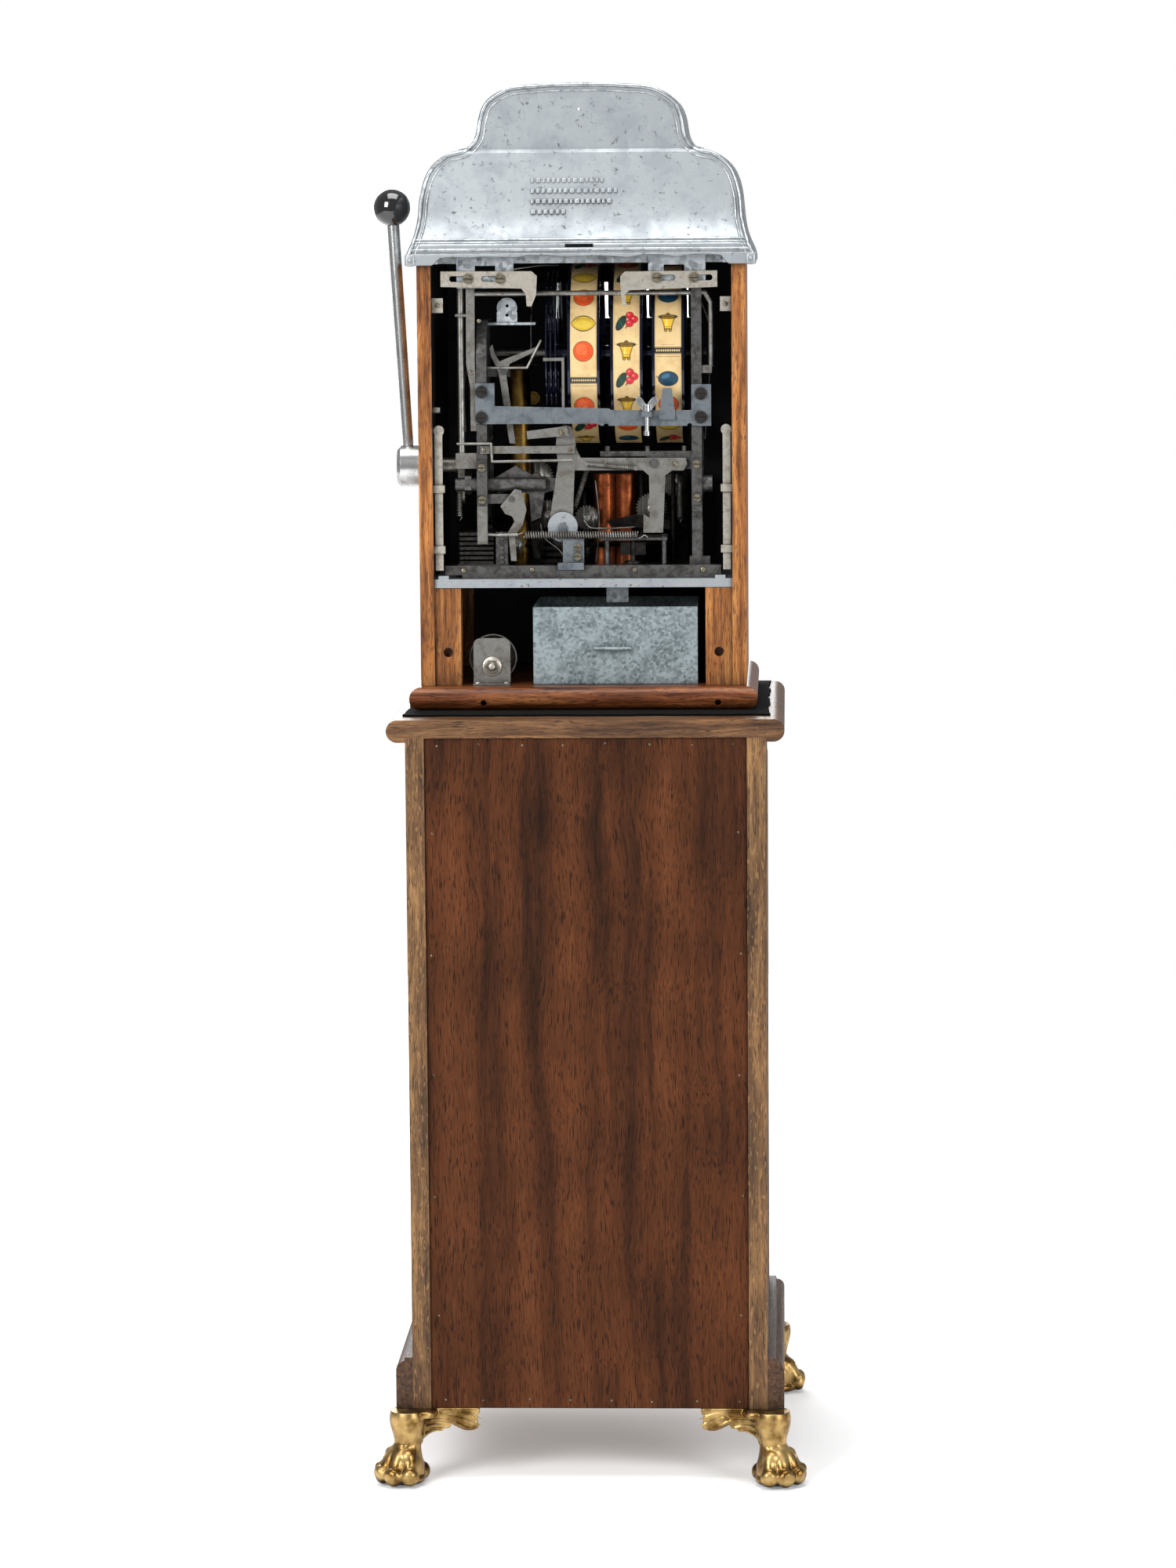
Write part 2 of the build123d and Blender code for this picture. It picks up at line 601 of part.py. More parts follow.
with BuildPart() as side_frame_left:
    x0 = FRAME_X[0]
    side_plate(
        x0, x0 - FRAME_THICKNESS,
        (FRAME_REAR, 70), (FRAME_REAR, 262), (50, 300), (160, 300), (172, 259), (172, BASE_PLATE),
        (118, BASE_PLATE), (118, 56), (70, 70),
    )
    side_plate(x0, x0 - FRAME_THICKNESS, *FRAME_WINDOW, mode=Mode.SUBTRACT)
    block(78, x0 - FRAME_THICKNESS, 27.4, 38, 87, 98)
    rod_in(*KICKER_PIVOT, 20, 28, PIN_RADIUS)
    block(86, x0 - FRAME_THICKNESS, 56, 62, 234, 246)
    rod_in(*FORK_PIVOT, 46, 57, PIN_RADIUS)
    rod_across(x0, x0 - FRAME_THICKNESS, ROCKER_AXIS, ROCKER_RADIUS + RUNNING_GAP, mode=Mode.SUBTRACT)
    rod_across(x0, x0 - FRAME_THICKNESS, REEL_AXIS, SHAFT_RADIUS, mode=Mode.SUBTRACT)
    for z in (129.2, 91.7):
        rod_in(x0 - 6, z, FRAME_REAR, FRAME_REAR + 2, PIN_RADIUS, mode=Mode.SUBTRACT)
    for z in (217.6, 187.5):
        rod_in(x0 - 6, z, FRAME_REAR, FRAME_REAR + 9, PIN_RADIUS, mode=Mode.SUBTRACT)
write(side_frame_left, "side_frame_left")

with BuildPart() as side_frame_right:
    x0 = FRAME_X[1]
    side_plate(
        x0, x0 - FRAME_THICKNESS,
        (FRAME_REAR, 78), (FRAME_REAR, 345), (35, 345), (48, 300), (160, 300), (172, 259),
        (172, BASE_PLATE), (118, BASE_PLATE), (100, 60), (50, 70), (42, 35), (46, 30),
        (46, BASE_PLATE), (30, BASE_PLATE), (30, 70),
    )
    side_plate(x0, x0 - FRAME_THICKNESS, *FRAME_WINDOW, mode=Mode.SUBTRACT)
    block(-20, x0, 34, 40, 141, 147)
    block(-74, x0, 34, 40, 126, 142)
    rod_in(*LEVER_PIVOT, 26, 35, PIN_RADIUS)
    rod_in(*LEVER_PIVOT, 25, 28.4, PIN_RADIUS + 2)
    for x in (-28.4, -75.1, -118.2):
        rod_up(x, 37, 146, 153, 3)
    rod_across(x0 - FRAME_THICKNESS, x0 - FRAME_THICKNESS - 12, ROCKER_AXIS, 10)
    block(x0 + 3, x0 - FRAME_THICKNESS - 9, 30, 46, BASE_PLATE, 24)
    rod_across(x0, x0 - FRAME_THICKNESS, REEL_AXIS, SHAFT_RADIUS, mode=Mode.SUBTRACT)
    rod_across(x0, x0 - FRAME_THICKNESS, (29.5, 331.5), PIN_RADIUS, mode=Mode.SUBTRACT)
    for z in (132.4, 93.0):
        rod_in(x0 - 6, z, FRAME_REAR, FRAME_REAR + 2, PIN_RADIUS, mode=Mode.SUBTRACT)
    for z in (214.2, 186.9):
        rod_in(x0 - 11, z, FRAME_REAR, FRAME_REAR + 9, PIN_RADIUS, mode=Mode.SUBTRACT)
write(side_frame_right, "side_frame_right")

with BuildPart() as bearing_caps:
    for x0, zs in ((FRAME_X[0], (129.2, 91.7)), (FRAME_X[1], (132.4, 93.0))):
        block(x0, x0 - FRAME_THICKNESS, 20.5, FRAME_REAR, 85, 138)
        for z in zs:
            rod_in(x0 - 6, z, 20.5, FRAME_REAR, PIN_RADIUS, mode=Mode.SUBTRACT)
write(bearing_caps, "bearing_caps")

slotted_spots = [
    (x, LATCH_Z, 12.2, 19.0) for x in (131.5, 94.2, -87.9, -130.6)
] + [
    (FRAME_X[0] - 6, 129.2, 20.5, FRAME_REAR + 2),
    (FRAME_X[0] - 6, 91.7, 20.5, FRAME_REAR + 2),
    (FRAME_X[1] - 6, 132.4, 20.5, FRAME_REAR + 2),
    (FRAME_X[1] - 6, 93.0, 20.5, FRAME_REAR + 2),
    (6.8, 36.0, 21.5, 24.0),
    (6.8, 25.0, 21.5, 24.0),
]
with BuildPart() as slotted_screws:
    for x, z, seat, end in slotted_spots:
        head = 5.6 if z > 300 else 4.6
        rod_in(x, z, seat - 3, seat, head)
        rod_in(x, z, seat, end, PIN_RADIUS)
        block(x - 6, x + 6, seat - 3.5, seat - 1.8, z - 0.7, z + 0.7, mode=Mode.SUBTRACT)
write(slotted_screws, "slotted_screws")

# ---- Mechanism: cross plate and its screws --------------------------------------------------
star_spots = [
    (FRAME_X[0] - 6, 217.6),
    (FRAME_X[0] - 6, 187.5),
    (FRAME_X[1] - 11, 214.2),
    (FRAME_X[1] - 11, 186.9),
]
wing_x = -75.2
with BuildPart() as cross_plate:
    plate(
        22.5, FRAME_REAR,
        (125.3, 227.6), (102.5, 227.6), (102.5, 201), (-31, 197.5), (-33.7, 195.7),
        (-127, 195), (-127, 225.1), (-150, 225), (-150, 176.7), (-22.1, 177.4),
        (-17.1, 180), (124.8, 180.1),
    )
    plate(19.5, 22.5, (-93.4, 221), (-104.4, 221), (-108.8, 184), (-88.7, 184))
    block(wing_x - 6, wing_x + 6, 11, 22.5, 188, 194)
    rod_up(wing_x, 16, 188, 194, PIN_RADIUS + RUNNING_GAP, mode=Mode.SUBTRACT)
    for x in (-27.6, -125.0):
        rod_in(x, 177, 22.5, FRAME_REAR, 3, mode=Mode.SUBTRACT)
    for x, z in star_spots:
        rod_in(x, z, 22.5, FRAME_REAR, PIN_RADIUS, mode=Mode.SUBTRACT)
write(cross_plate, "cross_plate")

with BuildPart() as star_screws:
    for x, z in star_spots:
        with BuildSketch(rear(18.5)):
            with Locations((x, z)):
                Circle(7.2)
                with PolarLocations(8.0, 10):
                    Circle(1.5, mode=Mode.SUBTRACT)
        extrude(amount=4)
        rod_in(x, z, 22.5, FRAME_REAR + 9, PIN_RADIUS)
        block(x - 5, x + 5, 18, 19.6, z - 0.8, z + 0.8, mode=Mode.SUBTRACT)
write(star_screws, "star_screws")

with BuildPart() as wing_bolt:
    rod_up(wing_x, 16, 168, 200, PIN_RADIUS)
    rod_up(wing_x, 16, 194.3, 202, 5)
    rod_up(wing_x, 16, 166, 171, 4.2)
    for side in (1, -1):
        plate(
            14.8, 17.2,
            (wing_x, 195), (wing_x + side * 5, 195), (wing_x + side * 13, 206),
            (wing_x + side * 11, 212), (wing_x + side * 6, 210), (wing_x, 201.5),
        )
write(wing_bolt, "wing_bolt")

# ---- Reels ----------------------------------------------------------------------------------
with BuildPart() as reel_shaft:
    rod_across(FRAME_X[0] + 4, FRAME_X[1] - FRAME_THICKNESS - 4, REEL_AXIS, SHAFT_RADIUS)
write(reel_shaft, "reel_shaft")

for number in (1, 2, 3):
    centre = REEL_CENTRES[number - 1]
    disc_x = REEL_DISC_X[number - 1]
    nest = 3 - number
    bore = SHAFT_RADIUS + RUNNING_GAP + nest * (TUBE_WALL + RUNNING_GAP)
    with BuildPart() as reel:
        x0, x1 = centre + REEL_WIDTH / 2, centre - REEL_WIDTH / 2
        rod_across(x0, x1, REEL_AXIS, REEL_RADIUS)
        rod_across(x0, x0 - 1.2, REEL_AXIS, REEL_RADIUS + 1.5)
        rod_across(x1 + 1.2, x1, REEL_AXIS, REEL_RADIUS + 1.5)
        rod_across(x0, x1, REEL_AXIS, REEL_RADIUS - REEL_RIM, mode=Mode.SUBTRACT)
        rod_across(centre + 1.5, centre - 1.5, REEL_AXIS, REEL_RADIUS - REEL_RIM + 1)
        with BuildSketch(across(x0)):
            with Locations(REEL_AXIS):
                with PolarLocations(60, 5):
                    Circle(26)
        extrude(amount=REEL_WIDTH, mode=Mode.SUBTRACT)
        rod_across(x0, x1, REEL_AXIS, 16)
        rod_across(disc_x + 2, x1, REEL_AXIS, bore + TUBE_WALL)
        rod_across(disc_x + 0.8, disc_x - 0.8, REEL_AXIS, REEL_DISC_RADIUS)
        with BuildSketch(across(disc_x + 0.8)):
            with Locations(REEL_AXIS):
                with PolarLocations(REEL_DISC_RADIUS, 20):
                    Circle(2.5)
                with PolarLocations(55, 5):
                    Circle(22)
        extrude(amount=1.6, mode=Mode.SUBTRACT)
        rod_across(disc_x + 3, x1 - 1, REEL_AXIS, bore, mode=Mode.SUBTRACT)
    write(reel, f"reel_{number}")

# ---- Latches and lock bars ------------------------------------------------------------------
with BuildPart() as latch_arm_left:
    plate(
        12.5, 15.5,
        (163.5, 358), (163.5, 340), (69.7, 337.5), (64.3, 331), (63.5, 317), (58, 316.6),
        (52.5, 330), (51.3, 351.9), (57.6, 357.5),
    )
    for x in (131.5, 94.2):
        with BuildSketch(rear(12.5)):
            with Locations((x + LATCH_TRAVEL / 2, LATCH_Z)):
                SlotCenterToCenter(LATCH_TRAVEL + 1, 2 * PIN_RADIUS + 0.8)
        extrude(amount=3, mode=Mode.SUBTRACT)
write(latch_arm_left, "latch_arm_left")

with BuildPart() as latch_arm_right:
    plate(
        12.5, 15.5,
        (-157.9, 357), (-157.9, 338), (-56, 334.8), (-50.5, 330), (-52.5, 316.8),
        (-48, 316.5), (-46, 330), (-45.5, 351), (-51, 356.5),
    )
    for x in (-87.9, -130.6):
        with BuildSketch(rear(12.5)):
            with Locations((x - LATCH_TRAVEL / 2, LATCH_Z)):
                SlotCenterToCenter(LATCH_TRAVEL + 1, 2 * PIN_RADIUS + 0.8)
        extrude(amount=3, mode=Mode.SUBTRACT)
write(latch_arm_right, "latch_arm_right")

for name, side in (("lock_bar_left", 1), ("lock_bar_right", -1)):
    with BuildPart() as lock_bar:
        block(side * 163.4, side * 172.6, 10.5, 16, 10, 172)
        rod_in(side * 167.5, 173, 10.5, 16, 6.2)
    write(lock_bar, name)

with BuildPart() as bar_guides:
    for side in (1, -1):
        for z in (101.0, 30.0):
            block(side * 161, side * INNER, 7.5, 19, z, z + 8.5)
            block(
                side * (163.4 - SLIDING_GAP), side * (172.6 + SLIDING_GAP),
                10.5 - SLIDING_GAP, 16 + SLIDING_GAP, z, z + 8.5, mode=Mode.SUBTRACT,
            )
        block(side * 161, side * INNER, 12, 15, 310, 327)
    rod_across(INNER, 167, (30, 196.4), 3.6)
write(bar_guides, "bar_guides")

# ---- Uprights, rods and wires ---------------------------------------------------------------
left_inner = FRAME_X[0] - FRAME_THICKNESS
right_outer = FRAME_X[1] - FRAME_THICKNESS
with BuildPart() as upright_rods:
    plate(
        26.5, 32.5,
        (124, 172), (124, 222), (125.5, 246), (125, 355), (135, 355), (135.5, 250), (131, 222),
        (131, 172),
    )
    block(134, 148, 26.5, 38.5, 305, 308)
    rod_up(142, 32.5, 140, 356, 4)
    block(124, 149, 27.5, 37.5, 128, 146)
    wire(
        3.0,
        (127, 29.5, 331.5), (right_outer - 4, 29.5, 331.5),
        (right_outer - 11, 29.5, 320), (right_outer - 11, 31, 245),
    )
    block(right_outer, right_outer - 12, 28, 34, 238, 247)
    wire(1.6, (147, 18.5, 157.5), (107, 18.5, 157.5), (106, 18.5, 136.5), (12, 18.5, 137.7))
    wire(1.6, (118, 18.5, 157.5), (118, FRAME_REAR, 157.5))
    wire(1.5, (left_inner, 36, 245), (65, 36, 245), (48.4, 36, 277))
    block(9.7, 119.7, 22.5, FRAME_REAR, 145.6, 154.3)
    plate(FRAME_REAR, 28.3, (45.6, 256.7), (21, 256.7), (21, 183), (24, 183), (24, 253), (45.6, 253))
    block(left_inner, FRAME_X[0], 20.5, FRAME_REAR, 40, 84.5)
    wire(2.0, (left_inner, 23, 51), (98, 16, 51), (76, 16, 51))
write(upright_rods, "upright_rods")

# ---- Levers ---------------------------------------------------------------------------------
with BuildPart() as main_lever:
    plate(
        29, 33,
        (-120.1, 139.1), (2.7, 139.8), (8.1, 150.8), (9.8, 163.6), (14, 176), (21.3, 178.5),
        (29, 175), (31, 163.8), (31.9, 151), (29.3, 134.5), (39, 70.3), (12.4, 70.2),
        (10.1, 125.2), (-70, 125), (-77, 118.8), (-77.5, 69.3), (-70.2, 73.9), (-70, 52),
        (-93, 52), (-96.1, 118.7), (-104, 124.6), (-117.3, 124.5), (-121.9, 131.8),
    )
    rod_in(*LEVER_PIVOT, 29, 33, PIN_RADIUS + RUNNING_GAP, mode=Mode.SUBTRACT)
    plate(18, 21, (65.2, 171.7), (18.5, 177.5), (15.8, 166.5), (64.4, 162.5))
    rod_in(21.3, 172.3, 16.5, 29, 4.5)
    rod_in(-3.5, 132.7, 22, 29, 2.5)
    rod_in(-62, 127.5, 22, 29, 2.5)
    wire(2.2, (-3.5, 24.5, 132.7), (-62, 24.5, 127.5))
write(main_lever, "main_lever")

with BuildPart() as rocker:
    rod_across(150, 44, ROCKER_AXIS, ROCKER_RADIUS)
    plate(
        39.5, 47.5,
        (105.4, 115.9), (79.5, 130.5), (59.4, 119.3), (31.8, 115.5), (31.9, 101.7), (45.8, 99),
        (50.6, 69.6), (61.7, 65.1), (64.2, 97.3), (82.5, 102), (101, 97.7),
    )
    side_plate(139, 131, (26, 103), (40, 97), (70, 112), (66, 124), (32, 119))
write(rocker, "rocker")

with BuildPart() as kicker:
    plate(
        23, 26,
        (70.1, 98), (72.8, 102.6), (80, 104), (97, 84), (91.4, 75.1), (83, 72), (80.5, 66),
        (88, 54), (85, 20), (78.5, 20), (80, 50), (71, 62), (66.5, 79.7),
    )
    rod_in(*KICKER_PIVOT, 23, 26, PIN_RADIUS + RUNNING_GAP, mode=Mode.SUBTRACT)
write(kicker, "kicker")

with BuildPart() as fork_lever:
    plate(
        49.5, 53.5,
        (106, 272), (104, 262), (98, 252), (88, 256), (54, 269), (56, 263.5), (86, 249),
        (90, 236), (80, 156), (87, 156), (99, 238), (102, 246), (108, 258), (109.5, 268),
    )
    rod_in(*FORK_PIVOT, 49.5, 53.5, PIN_RADIUS + RUNNING_GAP, mode=Mode.SUBTRACT)
write(fork_lever, "fork_lever")

with BuildPart() as main_spring:
    rod_across(69, -64, (16, 50.5), 4.8)
    rod_across(76, 69, (16, 51), 1.2)
    rod_across(-64, -72, (16, 50.5), 1.2)
write(main_spring, "main_spring")

with BuildPart() as roller_bracket:
    block(-0.5, 29.8, 13.5, 26, BASE_RAIL, 17.8)
    block(-0.5, 29.8, 13.5, 16.5, 10, BASE_RAIL)
    block(-0.7, 24.1, 21.5, 24, 17.8, 46)
    block(20, 28.4, 21.5, 24, 44, 60)
    rod_in(*ROLLER_CENTRE, 21.5, 24, 4.2)
    rod_in(*ROLLER_CENTRE, 22, 27.6, 2.5)
    for z in (36.0, 25.0):
        rod_in(6.8, z, 21.5, 24, PIN_RADIUS, mode=Mode.SUBTRACT)
write(roller_bracket, "roller_bracket")

with BuildPart() as roller:
    rod_in(*ROLLER_CENTRE, 24.5, 27.5, ROLLER_RADIUS)
    rod_in(*ROLLER_CENTRE, 24.5, 27.5, 2.5 + RUNNING_GAP, mode=Mode.SUBTRACT)
write(roller, "roller")

with BuildPart() as payout_slides:
    for row in range(SLIDE_COUNT):
        z = 15.5 + SLIDING_GAP + row * SLIDE_PITCH
        block(106, 146, 30.5, 100, z, z + 3.4)
        rod_in(142.5, z + 1.7, 27.5, 30.5, 1.7)
write(payout_slides, "payout_slides")

# ---- Coin parts and governor ----------------------------------------------------------------
with BuildPart() as coin_tube:
    rod_up(78.9, 104.5, BASE_PLATE, 240, TUBE_BORE + 2)
    with BuildSketch(level(240)):
        with Locations((78.9, -104.5)):
            Circle(TUBE_BORE + 2)
    with BuildSketch(level(246)):
        with Locations((78.9, -104.5)):
            Circle(22)
    loft()
    rod_up(78.9, 104.5, BASE_PLATE + 3, 247, TUBE_BORE, mode=Mode.SUBTRACT)
write(coin_tube, "coin_tube")

with BuildPart() as coin_bracket:
    block(56, FRAME_X[0] - FRAME_THICKNESS, 62, 100, 294, 297)
    with BuildSketch(rear(64.5)):
        with Locations((89.5, 303)):
            Rectangle(24, 12)
        with Locations((89.5, 314)):
            Circle(12)
        with Locations((89.2, 316.5), (89.4, 305.5)):
            Circle(1.8, mode=Mode.SUBTRACT)
    extrude(amount=3)
write(coin_bracket, "coin_bracket")

with BuildPart() as copper_shield:
    with BuildSketch(level(BASE_PLATE)):
        with Locations((-21.6, -118), (-47.1, -118)):
            Circle(13.2)
        with Locations((-21.6, -118), (-47.1, -118)):
            Circle(12, mode=Mode.SUBTRACT)
    extrude(amount=116 - BASE_PLATE)
write(copper_shield, "copper_shield")

with BuildPart() as governor_frame:
    block(-19.7, -97.7, 31, 80, BASE_PLATE, 11)
    block(-19.7, -97.7, 31, 80, 43, 46)
    for x in (-27.0, -94.0):
        for depth in (36.0, 75.0):
            rod_up(x, depth, 11, 43, 2.8)
            rod_up(x, depth, 46, 47.2, 4)
    rod_up(-56.8, 55, BASE_PLATE, 46, 1.5 + RUNNING_GAP, mode=Mode.SUBTRACT)
write(governor_frame, "governor_frame")

with BuildPart() as governor_fan:
    rod_up(-56.8, 55, BASE_PLATE + 0.3, 50, 1.5)
    rod_up(-56.8, 55, 14, 40, 3)
    rod_up(-56.8, 55, 14, 17, 10)
    block(-56.8 - 15, -56.8 + 15, 54.3, 55.7, 24, 39)
write(governor_fan, "governor_fan")

with BuildPart() as gong:
    block(86.5, 129.7, 2, 16.5, FLOOR, FLOOR + 2)
    block(86.5, 129.7, 14.5, 16.5, FLOOR, -70)
    fillet(gong.edges().filter_by(Axis.Y).group_by(Axis.Z)[-1], 8)
    rod_in(108, -103, 10, 62, 4)
    with BuildSketch(rear(10)):
        with Locations((108, -103)):
            RegularPolygon(8, 6)
    extrude(amount=4.5)
    with BuildSketch(across(108)):
        with Locations((36, -95)):
            Circle(28)
            Circle(26.5, mode=Mode.SUBTRACT)
        with Locations((8, -95)):
            Rectangle(56, 60, mode=Mode.SUBTRACT)
        with Locations((36, -125)):
            Rectangle(60, 60, mode=Mode.SUBTRACT)
    revolve(axis=Axis((MACHINE_X + 108, CASE_REAR, SHELF_TOP - 95), (0, -1, 0)), revolution_arc=360)
write(gong, "gong")

with BuildPart() as coin_box:
    box_w, box_d, box_h = COIN_BOX_SIZE
    x0, low = -133.2, FLOOR + SLIDING_GAP
    block(x0, x0 + box_w, 14.5, 14.5 + box_d, low, low + box_h)
    block(x0 + 1.5, x0 + box_w - 1.5, 16, 13 + box_d, low + 1.5, low + box_h + 1, mode=Mode.SUBTRACT)
    block(x0, x0 + box_w, 16, 20, low + box_h - 1.5, low + box_h)
    wire(2.2, (-13, 14.5, -82), (-13, 6, -82), (-54, 6, -82), (-54, 14.5, -82))
write(coin_box, "coin_box")

# ---- Handle ---------------------------------------------------------------------------------
hub_x = OUTER + 2.2 + SLIDING_GAP
lever_foot = Vector(MACHINE_X + 207.7, CASE_REAR - HANDLE_AXIS[0], SHELF_TOP + HANDLE_AXIS[1])
ball_spot = Vector(
    MACHINE_X + 225.0,
    CASE_REAR - HANDLE_AXIS[0],
    SHELF_TOP + HANDLE_AXIS[1] + HANDLE_LENGTH,
)
with BuildPart() as handle_lever:
    rod_across(hub_x + HUB_LENGTH, hub_x, HANDLE_AXIS, HUB_RADIUS)
    chamfer(handle_lever.edges().filter_by(GeomType.CIRCLE).sort_by(Axis.X)[-1], 4)
    lever = Plane(origin=lever_foot, z_dir=ball_spot - lever_foot)
    with BuildSketch(lever.offset(HUB_RADIUS - 6)):
        Circle(6)
    with BuildSketch(lever.offset((ball_spot - lever_foot).length - BALL_RADIUS + 1)):
        Circle(7.2)
    loft()
    rod_across(hub_x + 10, hub_x, HANDLE_AXIS, OPERATING_RADIUS, mode=Mode.SUBTRACT)
    with Locations(ball_spot):
        Sphere(BALL_RADIUS, mode=Mode.SUBTRACT)
write(handle_lever, "handle_lever")

with BuildPart() as handle_ball:
    with Locations(ball_spot):
        Sphere(BALL_RADIUS)
write(handle_ball, "handle_ball")

with BuildPart() as operating_shaft:
    rod_across(hub_x + 10, 142, HANDLE_AXIS, OPERATING_RADIUS)
    with BuildSketch(across(150)):
        with Locations((HANDLE_AXIS[0], HANDLE_AXIS[1] - CRANK_LENGTH / 2)):
            SlotCenterToCenter(CRANK_LENGTH, 22, rotation=90)
    extrude(amount=8)
write(operating_shaft, "operating_shaft")

with BuildPart() as handle_bushing:
    rod_across(OUTER + 2.2, OUTER, HANDLE_AXIS, 32)
    rod_across(OUTER, INNER - 4, HANDLE_AXIS, OPERATING_RADIUS + 3)
    rod_across(OUTER + 3, INNER - 5, HANDLE_AXIS, OPERATING_RADIUS + RUNNING_GAP, mode=Mode.SUBTRACT)
write(handle_bushing, "handle_bushing")
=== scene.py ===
"""The looks of a three-reel lever machine on a wooden stand with brass lion-paw feet.

Every object is in metres in the model's own frame: +Z up, origin on the floor under the middle
of the feet, the player on the -Y side and the machine's open rear on the +Y side. Sizes below
are given in millimetres and turned to metres once, where a mesh is made.
"""

import sys
import logging
import math
from collections.abc import Callable
from dataclasses import dataclass, field
from enum import Enum

import bpy
import numpy as np
from mathutils import Matrix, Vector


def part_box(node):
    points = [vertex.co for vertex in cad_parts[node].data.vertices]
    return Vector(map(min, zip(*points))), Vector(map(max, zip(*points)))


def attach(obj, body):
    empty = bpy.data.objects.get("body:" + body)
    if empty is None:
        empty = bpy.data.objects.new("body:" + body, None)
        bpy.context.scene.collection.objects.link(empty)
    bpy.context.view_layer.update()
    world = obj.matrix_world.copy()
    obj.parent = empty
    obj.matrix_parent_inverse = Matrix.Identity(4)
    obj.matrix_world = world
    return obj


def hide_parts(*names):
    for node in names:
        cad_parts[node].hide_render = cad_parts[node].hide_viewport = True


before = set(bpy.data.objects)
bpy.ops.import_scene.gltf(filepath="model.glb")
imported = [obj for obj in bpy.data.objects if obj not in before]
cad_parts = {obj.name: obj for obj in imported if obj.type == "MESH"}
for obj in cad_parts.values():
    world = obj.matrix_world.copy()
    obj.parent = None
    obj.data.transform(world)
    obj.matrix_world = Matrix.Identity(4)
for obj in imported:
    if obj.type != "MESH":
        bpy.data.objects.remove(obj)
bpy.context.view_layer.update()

MM = 0.001
LOG = logging.getLogger("lever_machine")


# ---- Small tools ----------------------------------------------------------------------------
def linear(code: str) -> tuple[float, float, float, float]:
    """Turns an sRGB hex colour to linear light.

    Args:
        code: six hex digits, with or without a hash mark.

    Returns:
        Red, green, blue and an alpha of one.
    """
    code = code.lstrip("#")
    steps = np.array([int(code[i : i + 2], 16) for i in (0, 2, 4)]) / 255
    light = np.where(steps <= 0.04045, steps / 12.92, ((steps + 0.055) / 1.055) ** 2.4)
    return (*light.tolist(), 1.0)


MULTIPLY = {"blend_type": "MULTIPLY", "Fac": 1.0}


class Graph:
    """A material's node tree, with one method that adds a node."""

    def __init__(self, name: str) -> None:
        """Starts a material that holds only its surface shader and output."""
        self.material = bpy.data.materials.new(name)
        self.material.use_nodes = True
        self.tree = self.material.node_tree
        self.tree.nodes.clear()
        self.surface = self.add("BsdfPrincipled")
        self.add("OutputMaterial", links={"Surface": self.surface.outputs[0]})
        self.where = self.add("TexCoord").outputs["Object"]

    def add(self, kind: str, settings: dict | None = None, links: dict | None = None) -> bpy.types.Node:
        """Adds one node.

        Args:
            kind: the node's type without its ShaderNode prefix.
            settings: values by input name, input number or node property. "stops" fills a ramp,
                and "range" gives a map's limits before and after.
            links: outputs, or nodes for their first output, by the name or number of the input fed.

        Returns:
            The new node.
        """
        node = self.tree.nodes.new("ShaderNode" + kind)
        for key, value in (settings or {}).items():
            if key == "stops":
                ramp = node.color_ramp.elements
                while len(ramp) < len(value):
                    ramp.new(0.5)
                for stop, (place, colour) in zip(ramp, value):
                    stop.position = place
                    stop.color = colour
            elif key == "range":
                for number, limit in enumerate(value, 1):
                    node.inputs[number].default_value = limit
            elif isinstance(key, int) or key in node.inputs:
                node.inputs[key].default_value = value
            else:
                setattr(node, key, value)
        for key, source in (links or {}).items():
            self.link(source, node.inputs[key])
        return node

    def link(self, source: bpy.types.Node | bpy.types.NodeSocket, target: bpy.types.NodeSocket) -> None:
        """Links an output, or the first output of a node, to an input."""
        self.tree.links.new(source.outputs[0] if isinstance(source, bpy.types.Node) else source, target)

    def feed(self, **sources: bpy.types.Node) -> None:
        """Links nodes to the surface shader, an underscore standing for a space in a name."""
        for name, source in sources.items():
            self.link(source, self.surface.inputs[name.replace("_", " ")])

    def fix(self, **values: float | tuple) -> None:
        """Sets constants on the surface shader's own sockets."""
        for name, value in values.items():
            self.surface.inputs[name.replace("_", " ")].default_value = value


def make_mesh(name: str, verts: np.ndarray, faces: np.ndarray | list, smooth: bool = True) -> bpy.types.Object:
    """Makes an object from arrays.

    Args:
        name: the piece's name.
        verts: points in millimetres in the model's frame, one row each.
        faces: four or three point numbers for each face.
        smooth: whether its faces are shaded smooth.

    Returns:
        The linked object, its place held in its mesh.
    """
    mesh = bpy.data.meshes.new(name)
    mesh.from_pydata((np.asarray(verts, float) * MM).tolist(), [], [list(map(int, f)) for f in faces])
    mesh.validate()
    mesh.polygons.foreach_set("use_smooth", np.full(len(mesh.polygons), smooth))
    piece = bpy.data.objects.new(name, mesh)
    bpy.context.scene.collection.objects.link(piece)
    return piece


def grid_faces(rows: int, cols: int, close_rows: bool = False, close_cols: bool = False) -> np.ndarray:
    """Quads of a grid of points numbered row by row.

    Args:
        rows: how many rows of points.
        cols: how many points in a row.
        close_rows: whether the last row joins the first.
        close_cols: whether the last column joins the first.

    Returns:
        One row of four point numbers for each quad.
    """
    i = np.arange(rows if close_rows else rows - 1)[:, None]
    j = np.arange(cols if close_cols else cols - 1)[None, :]
    i2, j2 = (i + 1) % rows, (j + 1) % cols
    return np.stack([i * cols + j, i * cols + j2, i2 * cols + j2, i2 * cols + j], -1).reshape(-1, 4)


